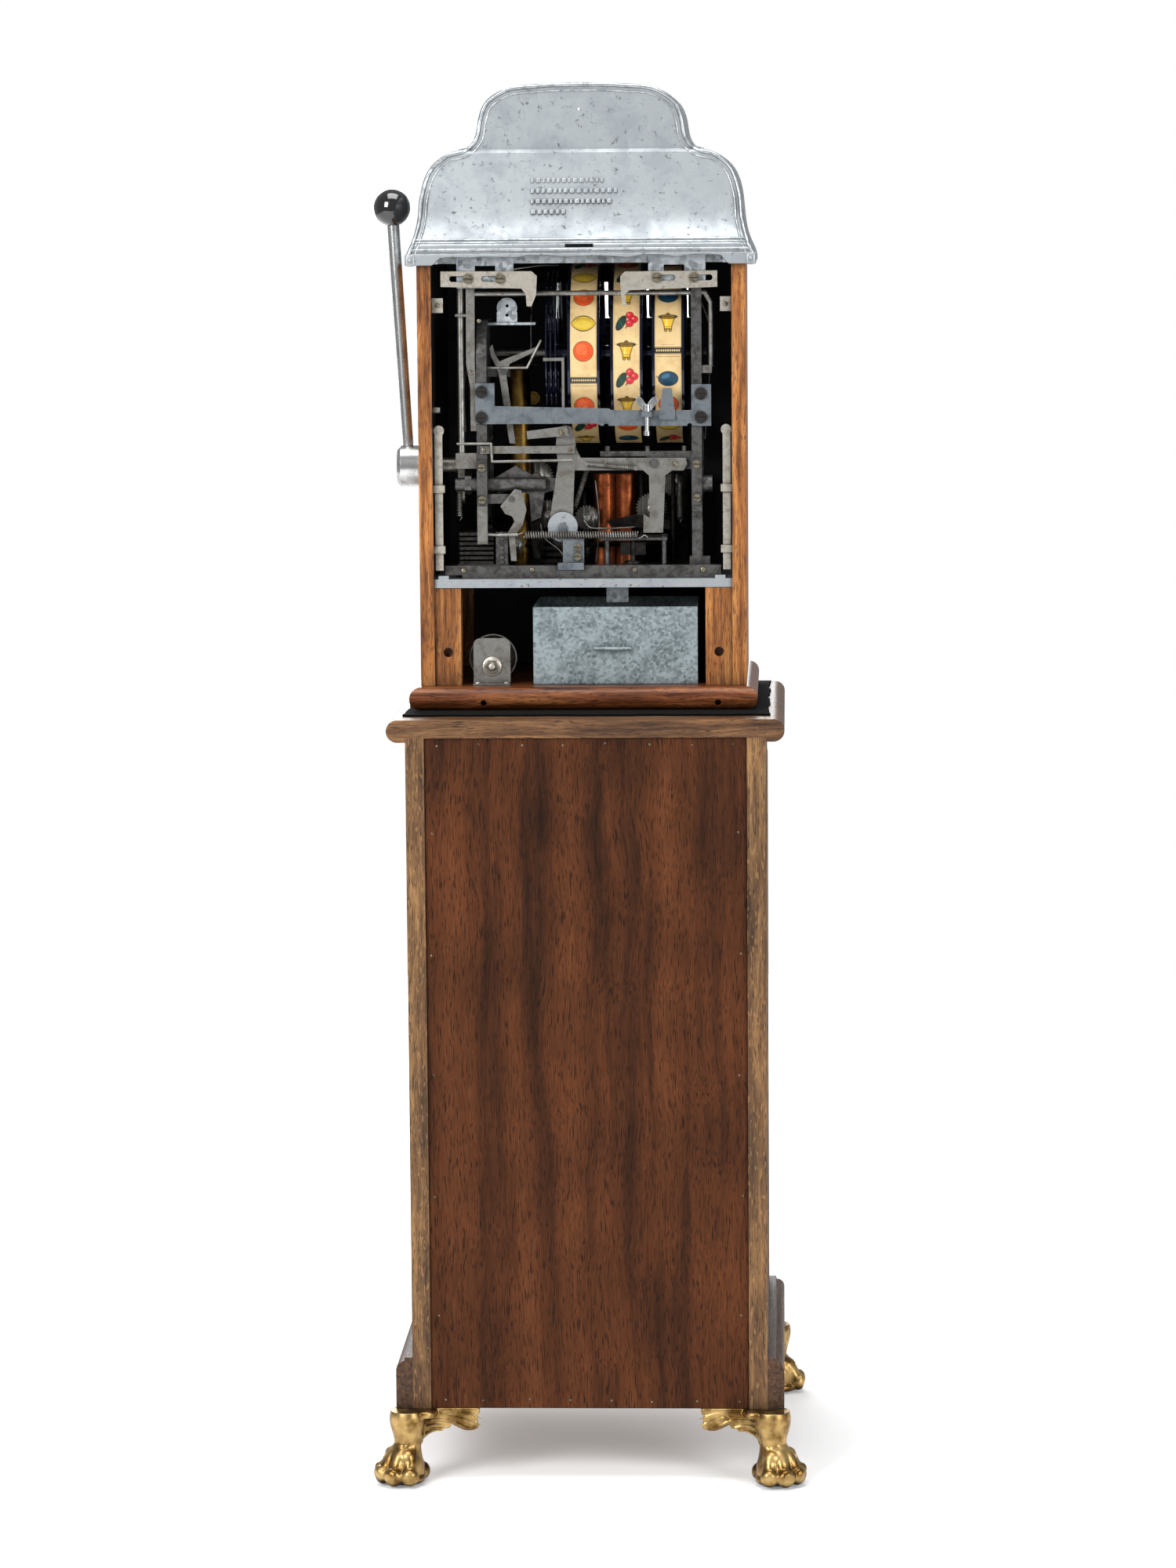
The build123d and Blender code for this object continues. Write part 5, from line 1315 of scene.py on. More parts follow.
@dataclass
class Painter:
    """Lays inks over a sheet of points, each shape a signed distance with a soft edge."""

    across: np.ndarray
    up: np.ndarray
    colour: np.ndarray
    soft: float = 0.32

    def ink(self, distance: np.ndarray, code: str, strength: float = 1.0) -> None:
        """Covers the points whose distance is below zero with one ink."""
        cover = np.clip(0.5 - distance / (2 * self.soft), 0, 1)[..., None] * strength
        self.colour[:] = self.colour * (1 - cover) + np.array(linear(code)[:3]) * cover

    def outlined(self, distance: np.ndarray, code: str, line: float = 1.0, dark: str = "15100B") -> None:
        """Fills a shape and draws a line round it."""
        self.ink(distance - line / 2, dark)
        self.ink(distance + line / 2, code)

    def disc(self, x: float, y: float, r: float) -> np.ndarray:
        """Gives the distance to a circle."""
        return np.hypot(self.across - x, self.up - y) - r

    def oval(self, x: float, y: float, a: float, b: float, turn: float = 0.0) -> np.ndarray:
        """Gives nearly the distance to an ellipse that is turned by some degrees."""
        c, s = math.cos(math.radians(turn)), math.sin(math.radians(turn))
        u, v = self.across - x, self.up - y
        p, q = u * c + v * s, v * c - u * s
        return (np.hypot(p / a, q / b) - 1) * min(a, b)

    def dash(self, x0: float, y0: float, x1: float, y1: float, wide: float) -> np.ndarray:
        """Gives the distance to a short stroke."""
        u, v = self.across - x0, self.up - y0
        a, b = x1 - x0, y1 - y0
        t = np.clip((u * a + v * b) / (a * a + b * b), 0, 1)
        return np.hypot(u - t * a, v - t * b) - wide / 2

    def lemon(self) -> None:
        """A pointed oval with a row of small dashes under its upper edge."""
        u = np.clip(np.abs(self.across) / 14.3, 0, 1)
        body = np.abs(self.up) - 9.2 * (1 - u**2) ** 0.78
        body = np.where(np.abs(self.across) > 14.3, np.hypot(np.abs(self.across) - 14.3, self.up), body * 0.8)
        self.outlined(body, "C4A22F")
        self.ink(self.oval(0, -1.5, 10, 4.6), "D2B548", 0.6)
        for k in range(-3, 4):
            self.ink(self.dash(k * 2.4, 5.2 - 0.12 * k * k, k * 2.4 + 0.9, 6.3 - 0.12 * k * k, 0.55), "5B4513")

    def orange(self) -> None:
        """A round fruit with fine spokes."""
        self.outlined(self.disc(0, 0, 11.6), "D9521F", 0.8, "43150A")
        self.ink(self.disc(-2, 2, 6.5), "EA7443", 0.55)
        angle = np.arctan2(self.up + 3, self.across - 2)
        r = np.hypot(self.up + 3, self.across - 2)
        spokes = 0.42 - np.abs(np.sin(angle * 11)) * r / 11
        inside = np.where((r > 3.5) & (np.hypot(self.across, self.up) < 10.4), -spokes, 1.0)
        self.ink(inside + 0.12, "9A3013", 0.6)

    def cherries(self) -> None:
        """Three berries, a leaf and their stems."""
        for x, y in ((4.0, 7.0), (8.6, 2.0), (3.6, -2.2)):
            self.ink(self.dash(x, y - 2, -1.0, -8.5, 0.7), "20301A")
        leaf = np.maximum(self.oval(-6.2, -2.2, 9.2, 4.3, 62), -self.disc(2.8, -3.0, 4.4))
        self.outlined(leaf, "12352C")
        self.ink(self.dash(-9.5, 4.5, -3.6, -8.2, 0.4), "3E6B57")
        for x, y in ((4.0, 7.2), (9.0, 2.2), (3.8, -2.6)):
            self.outlined(self.disc(x, y, 4.5), "BE1E28", 0.6, "3A0A0C")
            self.ink(self.disc(x - 1.2, y + 1.2, 1.3), "E8747A", 0.8)

    def bell(self) -> None:
        """A bell hung mouth upwards: rim, clapper, tapering body and two small feet."""
        t = np.clip((self.up + 8.0) / 14.0, 0, 1)
        wide = 4.2 + 4.3 * t**1.7
        body = np.maximum(np.abs(self.across) - wide, np.abs(self.up + 1.0) - 7.4)
        for x in (-2.6, 2.6):
            self.outlined(self.disc(x, -10.0, 1.5), "B88D1E")
        self.outlined(self.disc(0, 9.0, 1.9), "8A6414")
        self.outlined(body, "D8AE2C")
        self.ink(np.maximum(np.abs(self.across + 1.6) - 1.0, np.abs(self.up + 0.5) - 5.5), "F0D068", 0.8)
        self.ink(self.dash(-4.4, -5.6, 4.4, -5.6, 0.6), "5B4210")
        self.outlined(self.oval(0, 6.4, 9.6, 2.3), "9A7418")
        self.ink(self.oval(0, 6.5, 6.6, 1.1), "3D2B0A", 0.8)

    def plum(self) -> None:
        """A dark blue oval with a sheen and a short stem."""
        self.ink(self.dash(-10.5, 1.2, -14.0, 2.6, 0.9), "1A1512")
        self.outlined(self.oval(0, 0, 11.4, 8.8), "12384F", 0.8, "0A1016")
        self.ink(self.oval(-3, 3, 5, 2.6, 18), "3E6F88", 0.7)

    def divider(self) -> None:
        """A dark band with a row of pale lozenges, and faint small strokes beyond it."""
        self.ink(np.abs(self.up) - 4.2, "15130F")
        for k in range(-5, 6):
            lozenge = np.abs(self.across - k * 2.6) * 0.9 + np.abs(self.up - 0.1) * 0.62 - 1.05
            self.ink(lozenge, "C9B183")
        self.ink(np.abs(np.abs(self.up) - 3.3) - 0.16, "C9B183", 0.8)
        for k in range(-3, 4):
            self.ink(self.dash(k * 2.2 - 0.6, 6.7, k * 2.2 + 0.4, 6.7, 0.55), "3A3228", 0.7)
        for k in range(-6, 7):
            self.ink(self.dash(k * 2.1 - 0.7, -6.9, k * 2.1 + 0.5, -6.9, 0.75), "2E2820", 0.75)

    def draw(self, letter: str) -> None:
        """Draws the picture whose name starts with a letter."""
        picture = next(symbol for symbol in Symbol if symbol.name[0] == letter)
        getattr(self, picture.value)()


@dataclass
class ReelStrip(Assembly):
    """A printed paper strip round one reel.

    Args:
        number: which reel, from the handle side.
        start: the angle of the first picture above level at the rear, in degrees.
        order: the first letters of twenty pictures, upwards from the first.
        body: the reel's body.
        reel_radius: the reel's radius.
        reel_width: its width between the rims.
        width: the strip's width.
        lift: how far its face lies off the reel.
        step: the distance between its points.
        darkening: the width of the band along each edge that is drawn darker.
        half_picture: how far a picture reaches up and down.
    """

    number: int
    start: float
    order: str
    body: str
    reel_radius: float = 107.0
    reel_width: float = 37.3
    width: float = 31.0
    lift: float = 0.22
    step: float = 0.52
    darkening: float = 2.6
    half_picture: float = 17.0

    def build(self) -> None:
        """Wraps a grid of points round the reel and writes each point's ink to an attribute."""
        low, high = node_box(f"reel_{self.number}")
        axis = (low + high) / 2
        centre = low[0] + self.reel_width / 2
        radius = self.reel_radius + self.lift
        reach = radius * 2 * np.pi
        around, across = int(2 * np.pi * radius / self.step), int(self.width / self.step)
        turns = np.linspace(0, 2 * np.pi, around, endpoint=False)
        sides = np.linspace(-self.width / 2, self.width / 2, across)
        angle, side = np.meshgrid(turns, sides, indexing="ij")
        colour = np.ones((*angle.shape, 3)) * np.array(linear("CBB07E")[:3])
        draw = np.random.default_rng(self.number)
        wave = np.sin(angle * 3 + self.number) * 0.05 + np.sin(angle * 7.3 + 2) * 0.03
        colour *= (1 + wave)[..., None]
        # Darker towards each edge of the strip.
        edge = np.clip((np.abs(side) - self.width / 2 + self.darkening) / self.darkening, 0, 1)[..., None]
        colour *= 1 - 0.3 * edge**2
        for k, letter in enumerate(self.order):
            middle = math.radians(self.start + 18 * k)
            up = (angle - middle) / (2 * np.pi) * reach
            up = (up + reach / 2) % reach - reach / 2
            near = np.abs(up[:, 0]) < self.half_picture
            part = Painter(-side[near], up[near] + draw.uniform(-0.4, 0.4), colour[near])
            part.draw(letter)
            colour[near] = part.colour
        y, z = axis[1] + radius * np.cos(angle), axis[2] + radius * np.sin(angle)
        points = np.stack([centre + side, y, z], -1).reshape(-1, 3)
        strip = make_mesh(f"reel_strip_{self.number}", points, grid_faces(around, across, close_rows=True))
        give_ink(strip, colour)
        face = strip.data.polygons[0]
        if face.normal.y * (face.center.y - axis[1] * MM) + face.normal.z * (face.center.z - axis[2] * MM) < 0:
            strip.data.flip_normals()
        settle(strip, self.body, self.finishes.paper)


# ---- Hood and rim ---------------------------------------------------------------------------
@dataclass
class HoodTrim(Assembly):
    """The cast hood's raised bead, rim mouldings, ragged lower lip, bosses and rows of raised marks."""

    # Inset from the outline and radius of each bead along the edge.
    beads: tuple = ((2.4, 2.3), (9.0, 1.1))
    # Height, reach, radius and thickness over width of each moulding along the rim.
    rims: tuple = (
        (394.0, 194.0, 1.6, 0.9), (390.8, 195.5, 1.2, 0.9), (382.6, 198.6, 1.9, 1.0), (377.6, 200.4, 1.5, 0.8)
    )
    # Half the hood's outline, across and up, from the rim to the crown.
    outline: tuple = (
        (202, 376), (196, 390), (190, 412), (186, 448), (174.5, 478), (156, 493), (133, 500), (123.5, 511),
        (119.5, 530), (112, 551), (92, 566), (46, 573), (0, 574.5),
    )
    # Heights and depths of the hood's rear face.
    profile: tuple = ((366, -10), (388, -10), (396, -4), (416, 8), (455, 20), (494, 28), (498, 32), (580, 32))
    # Height, greatest number and reach of each row of marks.
    marks: tuple = ((462, 14, 58), (450, 15, 60), (438, 15, 60), (426, 6, -2))
    mark_start: float = 58.0
    # A mark's height and the space after it.
    mark_size: tuple = (5.6, 1.7)
    # Depth and height round the lip's section, a low height from its wavy lower edge.
    lip_section: tuple = ((-11.4, 378.0), (-11.6, 376.6), (-11.3, 0.0), (-9.0, -0.6), (-5.0, 0.0), (-5.0, 377.0))
    lip_reach: float = 203.0
    # Place across and height of a corner boss.
    boss: tuple = (197.0, 371.0)
    seed: int = 11

    def depth(self, height: float | np.ndarray) -> np.ndarray:
        """Gives how far forwards the hood's rear face lies at a height."""
        rows = np.array(self.profile, float)
        return np.interp(height, rows[:, 0], rows[:, 1])

    def edge_line(self, inset: float, count: int = 150) -> np.ndarray:
        """Gives a line across, in depth and in height that follows the outline a little way in."""
        half = smooth_line(self.outline, count)
        way = np.gradient(half, axis=0)
        way /= np.linalg.norm(way, axis=1)[:, None]
        inner = half + np.stack([-way[:, 1], way[:, 0]], -1) * inset
        inner[:, 0] = np.maximum(inner[:, 0], 0)
        whole = np.concatenate([inner, (inner * (-1, 1))[::-1][1:]])
        return np.stack([whole[:, 0], self.depth(whole[:, 1]), whole[:, 1]], -1)

    def build(self) -> None:
        """Carries round sections along the outline and the rim, and sets the marks on the slope."""
        shape = Shape()
        for inset, radius in self.beads:
            line = self.edge_line(inset)
            path = self.lay.at(line[:, 0], line[:, 1] + 0.2, line[:, 2])
            tube(shape, path, radius, 12, (0, 1, 0))
        settle(shape.piece("hood_edge_bead"), "base", self.finishes.bright_alloy)
        rim = Shape()
        for height, reach, radius, flat in self.rims:
            path = self.lay.at(np.linspace(-reach, reach, 90), self.depth(height) + 0.3, height)
            tube(rim, path, radius, 10, (0, 1, 0), flat)
        settle(rim.piece("hood_rim_mouldings"), "base", self.finishes.bright_alloy)
        self.lip()
        self.bosses()
        self.rows()

    def lip(self) -> None:
        """A lip under the rim whose lower edge is as uneven as the casting's."""
        draw = np.random.default_rng(self.seed)
        x = np.linspace(-self.lip_reach, self.lip_reach, 160)
        knots = np.linspace(-self.lip_reach, self.lip_reach, 23)
        drops = draw.uniform(-3.2, 0.6, len(knots))
        corner = np.interp(np.abs(x), (163.0, 171.0), (0.0, 1.0))
        edge = 374.0 - (np.interp(x, knots, drops) * (1 - corner) + 8.6 * corner)
        rows = [self.lay.at(x, d, h if h > 300 else edge + h) for d, h in self.lip_section]
        count = len(rows)
        ends = [list(range(count))[::-1], [(len(x) - 1) * count + k for k in range(count)]]
        shape = Shape()
        shape.take(np.stack(rows, 1), grid_faces(len(x), count, close_cols=True).tolist() + ends)
        lip = shape.piece("hood_lower_lip", False)
        outward_faces(lip)
        settle(lip, "base", self.finishes.alloy)

    def bosses(self) -> None:
        """A cast boss with its screw at each lower corner."""
        shape = Shape()
        across, height = self.boss
        for x in (across, -across):
            spot = self.lay.at(x, -9.5, height)
            pillow(shape, spot - (6, 3.4, 7), spot + (6, 3.4, 7), 0.55)
            screw = tuple(self.lay.at(x, -12.6, height))
            turned(shape, [(0, 2.6), (1.2, 2.4), (1.6, 1.2)], screw, (0, 1, 0), 14)
        settle(shape.piece("hood_corner_bosses"), "base", self.finishes.alloy)

    def rows(self) -> None:
        """Rows of plain raised marks, cast where a maker would put foundry numbers."""
        draw = np.random.default_rng(self.seed + 1)
        shape = Shape()
        tall, space = self.mark_size
        for height, count, reach in self.marks:
            x = self.mark_start
            slope = (self.depth(height + 3.0) - self.depth(height - 3.0)) / 6
            for _ in range(count):
                wide = draw.uniform(3.2, 6.4)
                if x - wide < -reach:
                    break
                middle = self.lay.at(x - wide / 2, self.depth(height) - 0.1, height)
                half = np.array((wide, 2.0, tall)) / 2
                pillow(shape, middle - half, middle + half, 0.4, 6, 10)
                tilted = shape.verts[-1]
                tilted[:, 1] -= (tilted[:, 2] - middle[2]) * slope
                x -= wide + space
        settle(shape.piece("hood_raised_marks"), "base", self.finishes.alloy)


def outward_faces(piece: bpy.types.Object) -> None:
    """Makes a closed mesh's faces point outwards, by the sign of the volume that they enclose."""
    mesh = piece.data
    mesh.calc_loop_triangles()
    count = len(mesh.loop_triangles)
    corners = np.zeros(count * 3, int)
    mesh.loop_triangles.foreach_get("vertices", corners)
    verts = np.zeros(len(mesh.vertices) * 3)
    mesh.vertices.foreach_get("co", verts)
    a, b, c = verts.reshape(-1, 3)[corners.reshape(-1, 3)].transpose(1, 0, 2)
    if np.einsum("ij,ij->i", a, np.cross(b, c)).sum() < 0:
        mesh.flip_normals()


# ---- Springs --------------------------------------------------------------------------------
@dataclass
class Springs(Assembly):
    """Coil springs: the long one across the machine, the lever's own, and small ones behind."""

    wire: float = 0.8
    pitch: float = 2.9
    radius: float = 4.8
    # Where its coil starts and stops: across, depth and height.
    ends: tuple = ((69.0, 16.0, 50.8), (-64.0, 16.0, 50.5))
    # The points of the plain wire at each end, and how many points its curve gets.
    hooks: tuple = (
        (((77, 16, 51), (72, 16, 53), (69, 16, 54.6)), 8),
        (((-64, 16, 46.5), (-67, 16, 47), (-72, 16, 50), (-76, 15, 47)), 12),
    )
    # The two eyes of the spring on the trip lever.
    lever_ends: tuple = ((-2.0, 24.5, 132.6), (-63.5, 24.5, 127.4))
    # Two eyes and a coil radius for each spring behind the levers.
    hidden: tuple = (
        ((146, 40, 66), (146, 40, 112), 3.2), ((60, 120, 30), (60, 120, 96), 3.4),
        ((-112, 60, 62), (-112, 90, 110), 3.0), ((14, 92, 74), (-4, 92, 128), 2.8),
    )

    def hooked(self, shape: Shape, ends: tuple, radius: float, wire: float, pitch: float) -> None:
        """Adds a helix between two points whose ends run in straight to the axis.

        Args:
            shape: where the surface goes.
            ends: the two hooks' eyes: across, depth and height.
            radius: the coil's mean radius.
            wire: the wire's radius.
            pitch: the distance between turns.
        """
        start, end = (self.lay.at(*eye) for eye in ends)
        way = (end - start) / np.linalg.norm(end - start)
        first, last = start + way * radius * 1.6, end - way * radius * 1.6
        turns = np.linalg.norm(last - first) / pitch
        path = coil(first, last, radius, turns, 11)
        tube(shape, np.concatenate([[start], path, [end]]), wire, 6, (0.2, 0.4, 0.9))

    def build(self) -> None:
        """Makes the springs that show and those half hidden behind the levers."""
        shape = Shape()
        start, end = (self.lay.at(*place) for place in self.ends)
        turns = np.linalg.norm(end - start) / self.pitch
        tube(shape, coil(start, end, self.radius - self.wire, turns, 12), self.wire, 7)
        for points, count in self.hooks:
            tube(shape, self.curve(points, count), self.wire, 7)
        spring = shape.piece("long_coil_spring")
        settle(spring, "base", self.finishes.steel)
        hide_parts("main_spring")
        small = Shape()
        self.hooked(small, self.lever_ends, 2.6, 0.55, 1.5)
        settle(small.piece("lever_spring"), "trip_lever", self.finishes.steel)
        behind = Shape()
        for start, end, radius in self.hidden:
            self.hooked(behind, (start, end), radius, 0.6, 1.9)
        settle(behind.piece("hidden_springs"), "base", self.finishes.steel)


# ---- Works behind the levers ----------------------------------------------------------------
@dataclass
class Works(Assembly):
    """The dim machinery behind the levers: toothed wheels, shafts, arms, slides and screws."""

    # Depth, height and radius of each cross shaft, and its two ends.
    shaft_runs: tuple = ((96, 34, 3.2, 104, -112), (150, 60, 4.0, 110, -125), (190, 96, 3.0, 110, -125))
    collars: int = 6
    # Place across, depth and two heights of each upright pin.
    pin_runs: tuple = ((36, 84, 8, 112), (52, 84, 8, 96), (-66, 96, 8, 118), (-104, 84, 8, 120), (2, 100, 8, 96))
    pin_radius: float = 2.6
    # Place, tip radius, teeth and thickness of each wheel.
    wheel_places: tuple = (
        (44, 66, 72, 17, 26, 2.4), (28, 70, 44, 12, 18, 2.4), (-2, 84, 66, 15, 22, 2.6),
        (-78, 92, 76, 19, 30, 2.4), (-104, 96, 104, 14, 20, 2.4), (82, 58, 36, 11, 16, 2.4),
        (60, 110, 112, 22, 34, 3.0), (8, 120, 26, 14, 20, 2.4),
    )
    # Radius and length of the pin that a wheel turns on.
    arbor: tuple = (2.4, 26)
    # Radius and points of each bent wire.
    wire_runs: tuple = (
        (1.1, ((138, 44, 170), (138, 44, 232), (130, 52, 262), (112, 60, 286))),
        (1.0, ((100, 34, 338), (96, 44, 352), (60, 60, 362), (30, 90, 363))),
        (1.0, ((64, 120, 250), (64, 118, 300), (60, 110, 340))),
        (1.2, ((-134, 40, 330), (-146, 60, 300), (-146, 60, 210), (-142, 50, 160))),
        (0.9, ((18, 60, 12), (30, 56, 30), (48, 58, 46), (52, 56, 62))),
        (1.0, ((-12, 90, 12), (-16, 86, 60), (-12, 84, 110))),
        (0.9, ((0, 40, 66), (-6, 44, 58), (-20, 50, 56), (-60, 54, 57))),
    )
    # Place and radius of each screw head.
    screw_places: tuple = (
        (140, 16.5, 9.4, 3.4), (60, 16.5, 9.4, 3.0), (-60, 16.5, 9.4, 3.0), (-140, 16.5, 9.4, 3.4),
        (-144, 26.5, 217, 3.0), (120, 26.4, 300, 2.6), (130.2, 26.4, 240, 2.6), (130.2, 26.4, 340, 2.6),
        (167, 12.0, 318.5, 2.6), (-167, 12.0, 318.5, 2.6), (24, 18.0, 170.5, 3.6), (-27, 29.0, 132.5, 2.6),
        (-108, 29.0, 132.0, 3.2), (116, 22.5, 150, 2.6), (14, 22.5, 150, 2.6),
    )
    # The two sides and two heights of the window's opening in the sheet of painted shade.
    opening: tuple = (30.0, -133.0, 286.0, 354.0)
    # Where the sheet of painted shade starts and stops.
    shade_lining_depths: tuple = (272.0, 273.4)

    def wheel(self, shape: Shape, x: float, d: float, h: float, radius: float, teeth: int, thick: float) -> None:
        """A toothed wheel facing the rear: its radius steps between root and tip round the turn.

        Args:
            shape: where the surface goes.
            x: its middle, across.
            d: the depth of its rear face.
            h: its middle's height.
            radius: the radius at the tips.
            teeth: how many teeth it has.
            thick: its thickness.
        """
        turn = np.linspace(0, 2 * np.pi, teeth * 4, endpoint=False)
        step = np.tile([0.88, 1.0, 1.0, 0.88], teeth)
        rim = [(x + radius * s * math.cos(t), h + radius * s * math.sin(t)) for s, t in zip(step, turn)]
        slab(shape, rim, d, d + thick, self.lay)
        hub = [(0, radius * 0.28), (2.5, radius * 0.28), (3.0, radius * 0.22)]
        turned(shape, hub, tuple(self.lay.at(x, d, h)), (0, 1, 0), 20)

    def screw(self, shape: Shape, x: float, d: float, h: float, radius: float) -> None:
        """Adds a cheese-headed screw whose face rounds over at its edge and sinks at its middle.

        Args:
            shape: where the surface goes.
            x: its middle, across.
            d: its depth.
            h: its height.
            radius: the head's radius.
        """
        head = [(0, radius), (radius * 0.5, radius), (radius * 0.7, radius * 0.82), (radius * 0.62, 0.5)]
        turned(shape, [(-2.0, radius * 0.6), *head], tuple(self.lay.at(x, d, h)), (0, 1, 0), 16)

    def shafts(self) -> None:
        """Cross shafts with collars, and upright pins."""
        shape = Shape()
        for d, h, r, x0, x1 in self.shaft_runs:
            tube(shape, self.lay.at(np.linspace(x0, x1, 12), d, h), r, 14)
            collar = [(0, r + 0.1), (0.4, r + 2.6), (5, r + 2.6), (5.4, r + 0.1)]
            for x in np.linspace(x0 - 12, x1 + 12, self.collars):
                turned(shape, collar, tuple(self.lay.at(x, d, h)), (-1, 0, 0), 18)
        for x, d, h0, h1 in self.pin_runs:
            tube(shape, self.lay.at(x, d, np.linspace(h0, h1, 6)), self.pin_radius, 12)
        settle(shape.piece("inner_shafts"), "base", self.finishes.soot)

    def wheels(self) -> None:
        """Toothed wheels on their pins, from the small governor train to the large driver."""
        shape = Shape()
        radius, length = self.arbor
        for x, d, h, *sizes in self.wheel_places:
            self.wheel(shape, x, d, h, *sizes)
            tube(shape, self.lay.at(x, np.linspace(d, d + length, 5), h), radius, 10)
        settle(shape.piece("toothed_wheels"), "base", self.finishes.steel)

    def plates(self) -> None:
        """Dark plates, arms and slides that close the view between the frames."""
        shape = Shape()
        back = [(-118, 8), (108, 8), (108, 118), (70, 132), (40, 118), (-20, 126), (-118, 118)]
        bow = [(112, 300), (104, 360), (-110, 360), (-116, 300), (-110, 340), (100, 340)]
        slab(shape, back, 205, 208, self.lay)
        slab(shape, bow, 232, 235, self.lay)
        for x, wide in ((66, 5), (76, 4), (92, 6)):
            slab(shape, [(x, 150), (x + wide, 150), (x + wide, 232), (x, 232)], 128, 131, self.lay)
        for k in range(5):
            h = 14 + 7.5 * k
            slide = [(20, h), (62, h), (64, h + 2), (64, h + 4.4), (20, h + 4.4)]
            slab(shape, slide, 70 + 3 * k, 73 + 3 * k, self.lay)
        slab(shape, [(-100, 52), (-30, 56), (-26, 62), (-60, 70), (-100, 62)], 84, 87, self.lay)
        slab(shape, [(52, 20), (60, 20), (66, 84), (58, 92), (50, 86), (56, 74)], 58, 61, self.lay)
        settle(shape.piece("inner_plates", False), "base", self.finishes.soot)

    def lining(self) -> None:
        """A black sheet of painted shade inside the front casting: four strips round the window and one below."""
        shape = Shape()
        left, right, low, high = self.opening
        wall, floor, top = 173.5, 0.5, 366.0
        for x0, x1, h0, h1 in (
            (wall, left, floor, top), (right, -wall, floor, top), (left, right, floor, low),
            (left, right, high, top), (wall, -wall, -124.0, -10.5),
        ):
            slab(shape, [(x0, h0), (x0, h1), (x1, h1), (x1, h0)], *self.shade_lining_depths, self.lay)
        settle(shape.piece("front_lining", False), "base", self.finishes.shade_black)

    def rods(self) -> None:
        """Bent wires and thin rods: links, feelers and stops, each a soft curve through its points."""
        shape = Shape()
        for radius, points in self.wire_runs:
            tube(shape, self.curve(points, 30), radius, 8)
        settle(shape.piece("feeler_wires"), "base", self.finishes.steel)

    def screws(self) -> None:
        """Screw heads on the frames, brackets, guides and base."""
        shape = Shape()
        for place in self.screw_places:
            self.screw(shape, *place)
        settle(shape.piece("small_screw_heads"), "base", self.finishes.screw_steel)

    def build(self) -> None:
        """Builds the sheet of painted shade, shafts, wheels, plates, rods and screws."""
        for part in (self.lining, self.shafts, self.wheels, self.plates, self.rods, self.screws):
            part()


# ---- Player's side and trim -----------------------------------------------------------------
def rounded(box: tuple[float, float, float, float], radius: float, count: int = 8) -> np.ndarray:
    """A rectangle's outline whose corners are quarter circles.

    Args:
        box: its two sides across and its two heights.
        radius: the corners' radius.
        count: points in a corner.

    Returns:
        The outline's points, across and up.
    """
    x0, x1, h0, h1 = min(box[:2]), max(box[:2]), min(box[2:]), max(box[2:])
    left, right, low, high = x0 + radius, x1 - radius, h0 + radius, h1 - radius
    arc = np.linspace(0, np.pi / 2, count)
    corners = []
    for k, (x, h) in enumerate(((right, high), (left, high), (left, low), (right, low))):
        turn = arc + k * np.pi / 2
        corners.append(np.stack([x + radius * np.cos(turn), h + radius * np.sin(turn)], -1))
    return np.concatenate(corners)


def moulding(shape: Shape, box: tuple, radius: float, section: tuple, place: Callable) -> None:
    """A closed section carried round a rounded rectangle, which each of its points grows by an offset.

    Args:
        shape: where the surface goes.
        box: the rectangle's two sides across and its two heights.
        radius: the corners' radius.
        section: offset outwards and height off the face, for each point round the section.
        place: turns across, off the face and up to the model's own millimetres.
    """
    x0, x1, h0, h1 = box
    loops = []
    for offset, proud in section:
        grown = (x0 - offset, x1 + offset, h0 - offset, h1 + offset)
        outline = rounded(grown, max(radius + offset, 0.3))
        loops.append(place(outline[:, 0], proud, outline[:, 1]))
    verts = np.concatenate(loops)
    faces = grid_faces(len(loops), len(loops[0]), close_rows=True, close_cols=True)
    a, b, c, d = (verts[faces[:, k]] for k in range(4))
    volume = np.einsum("ij,ij->i", a, np.cross(b, c)) + np.einsum("ij,ij->i", a, np.cross(c, d))
    shape.take(verts, faces[:, ::-1] if np.sum(volume) < 0 else faces)


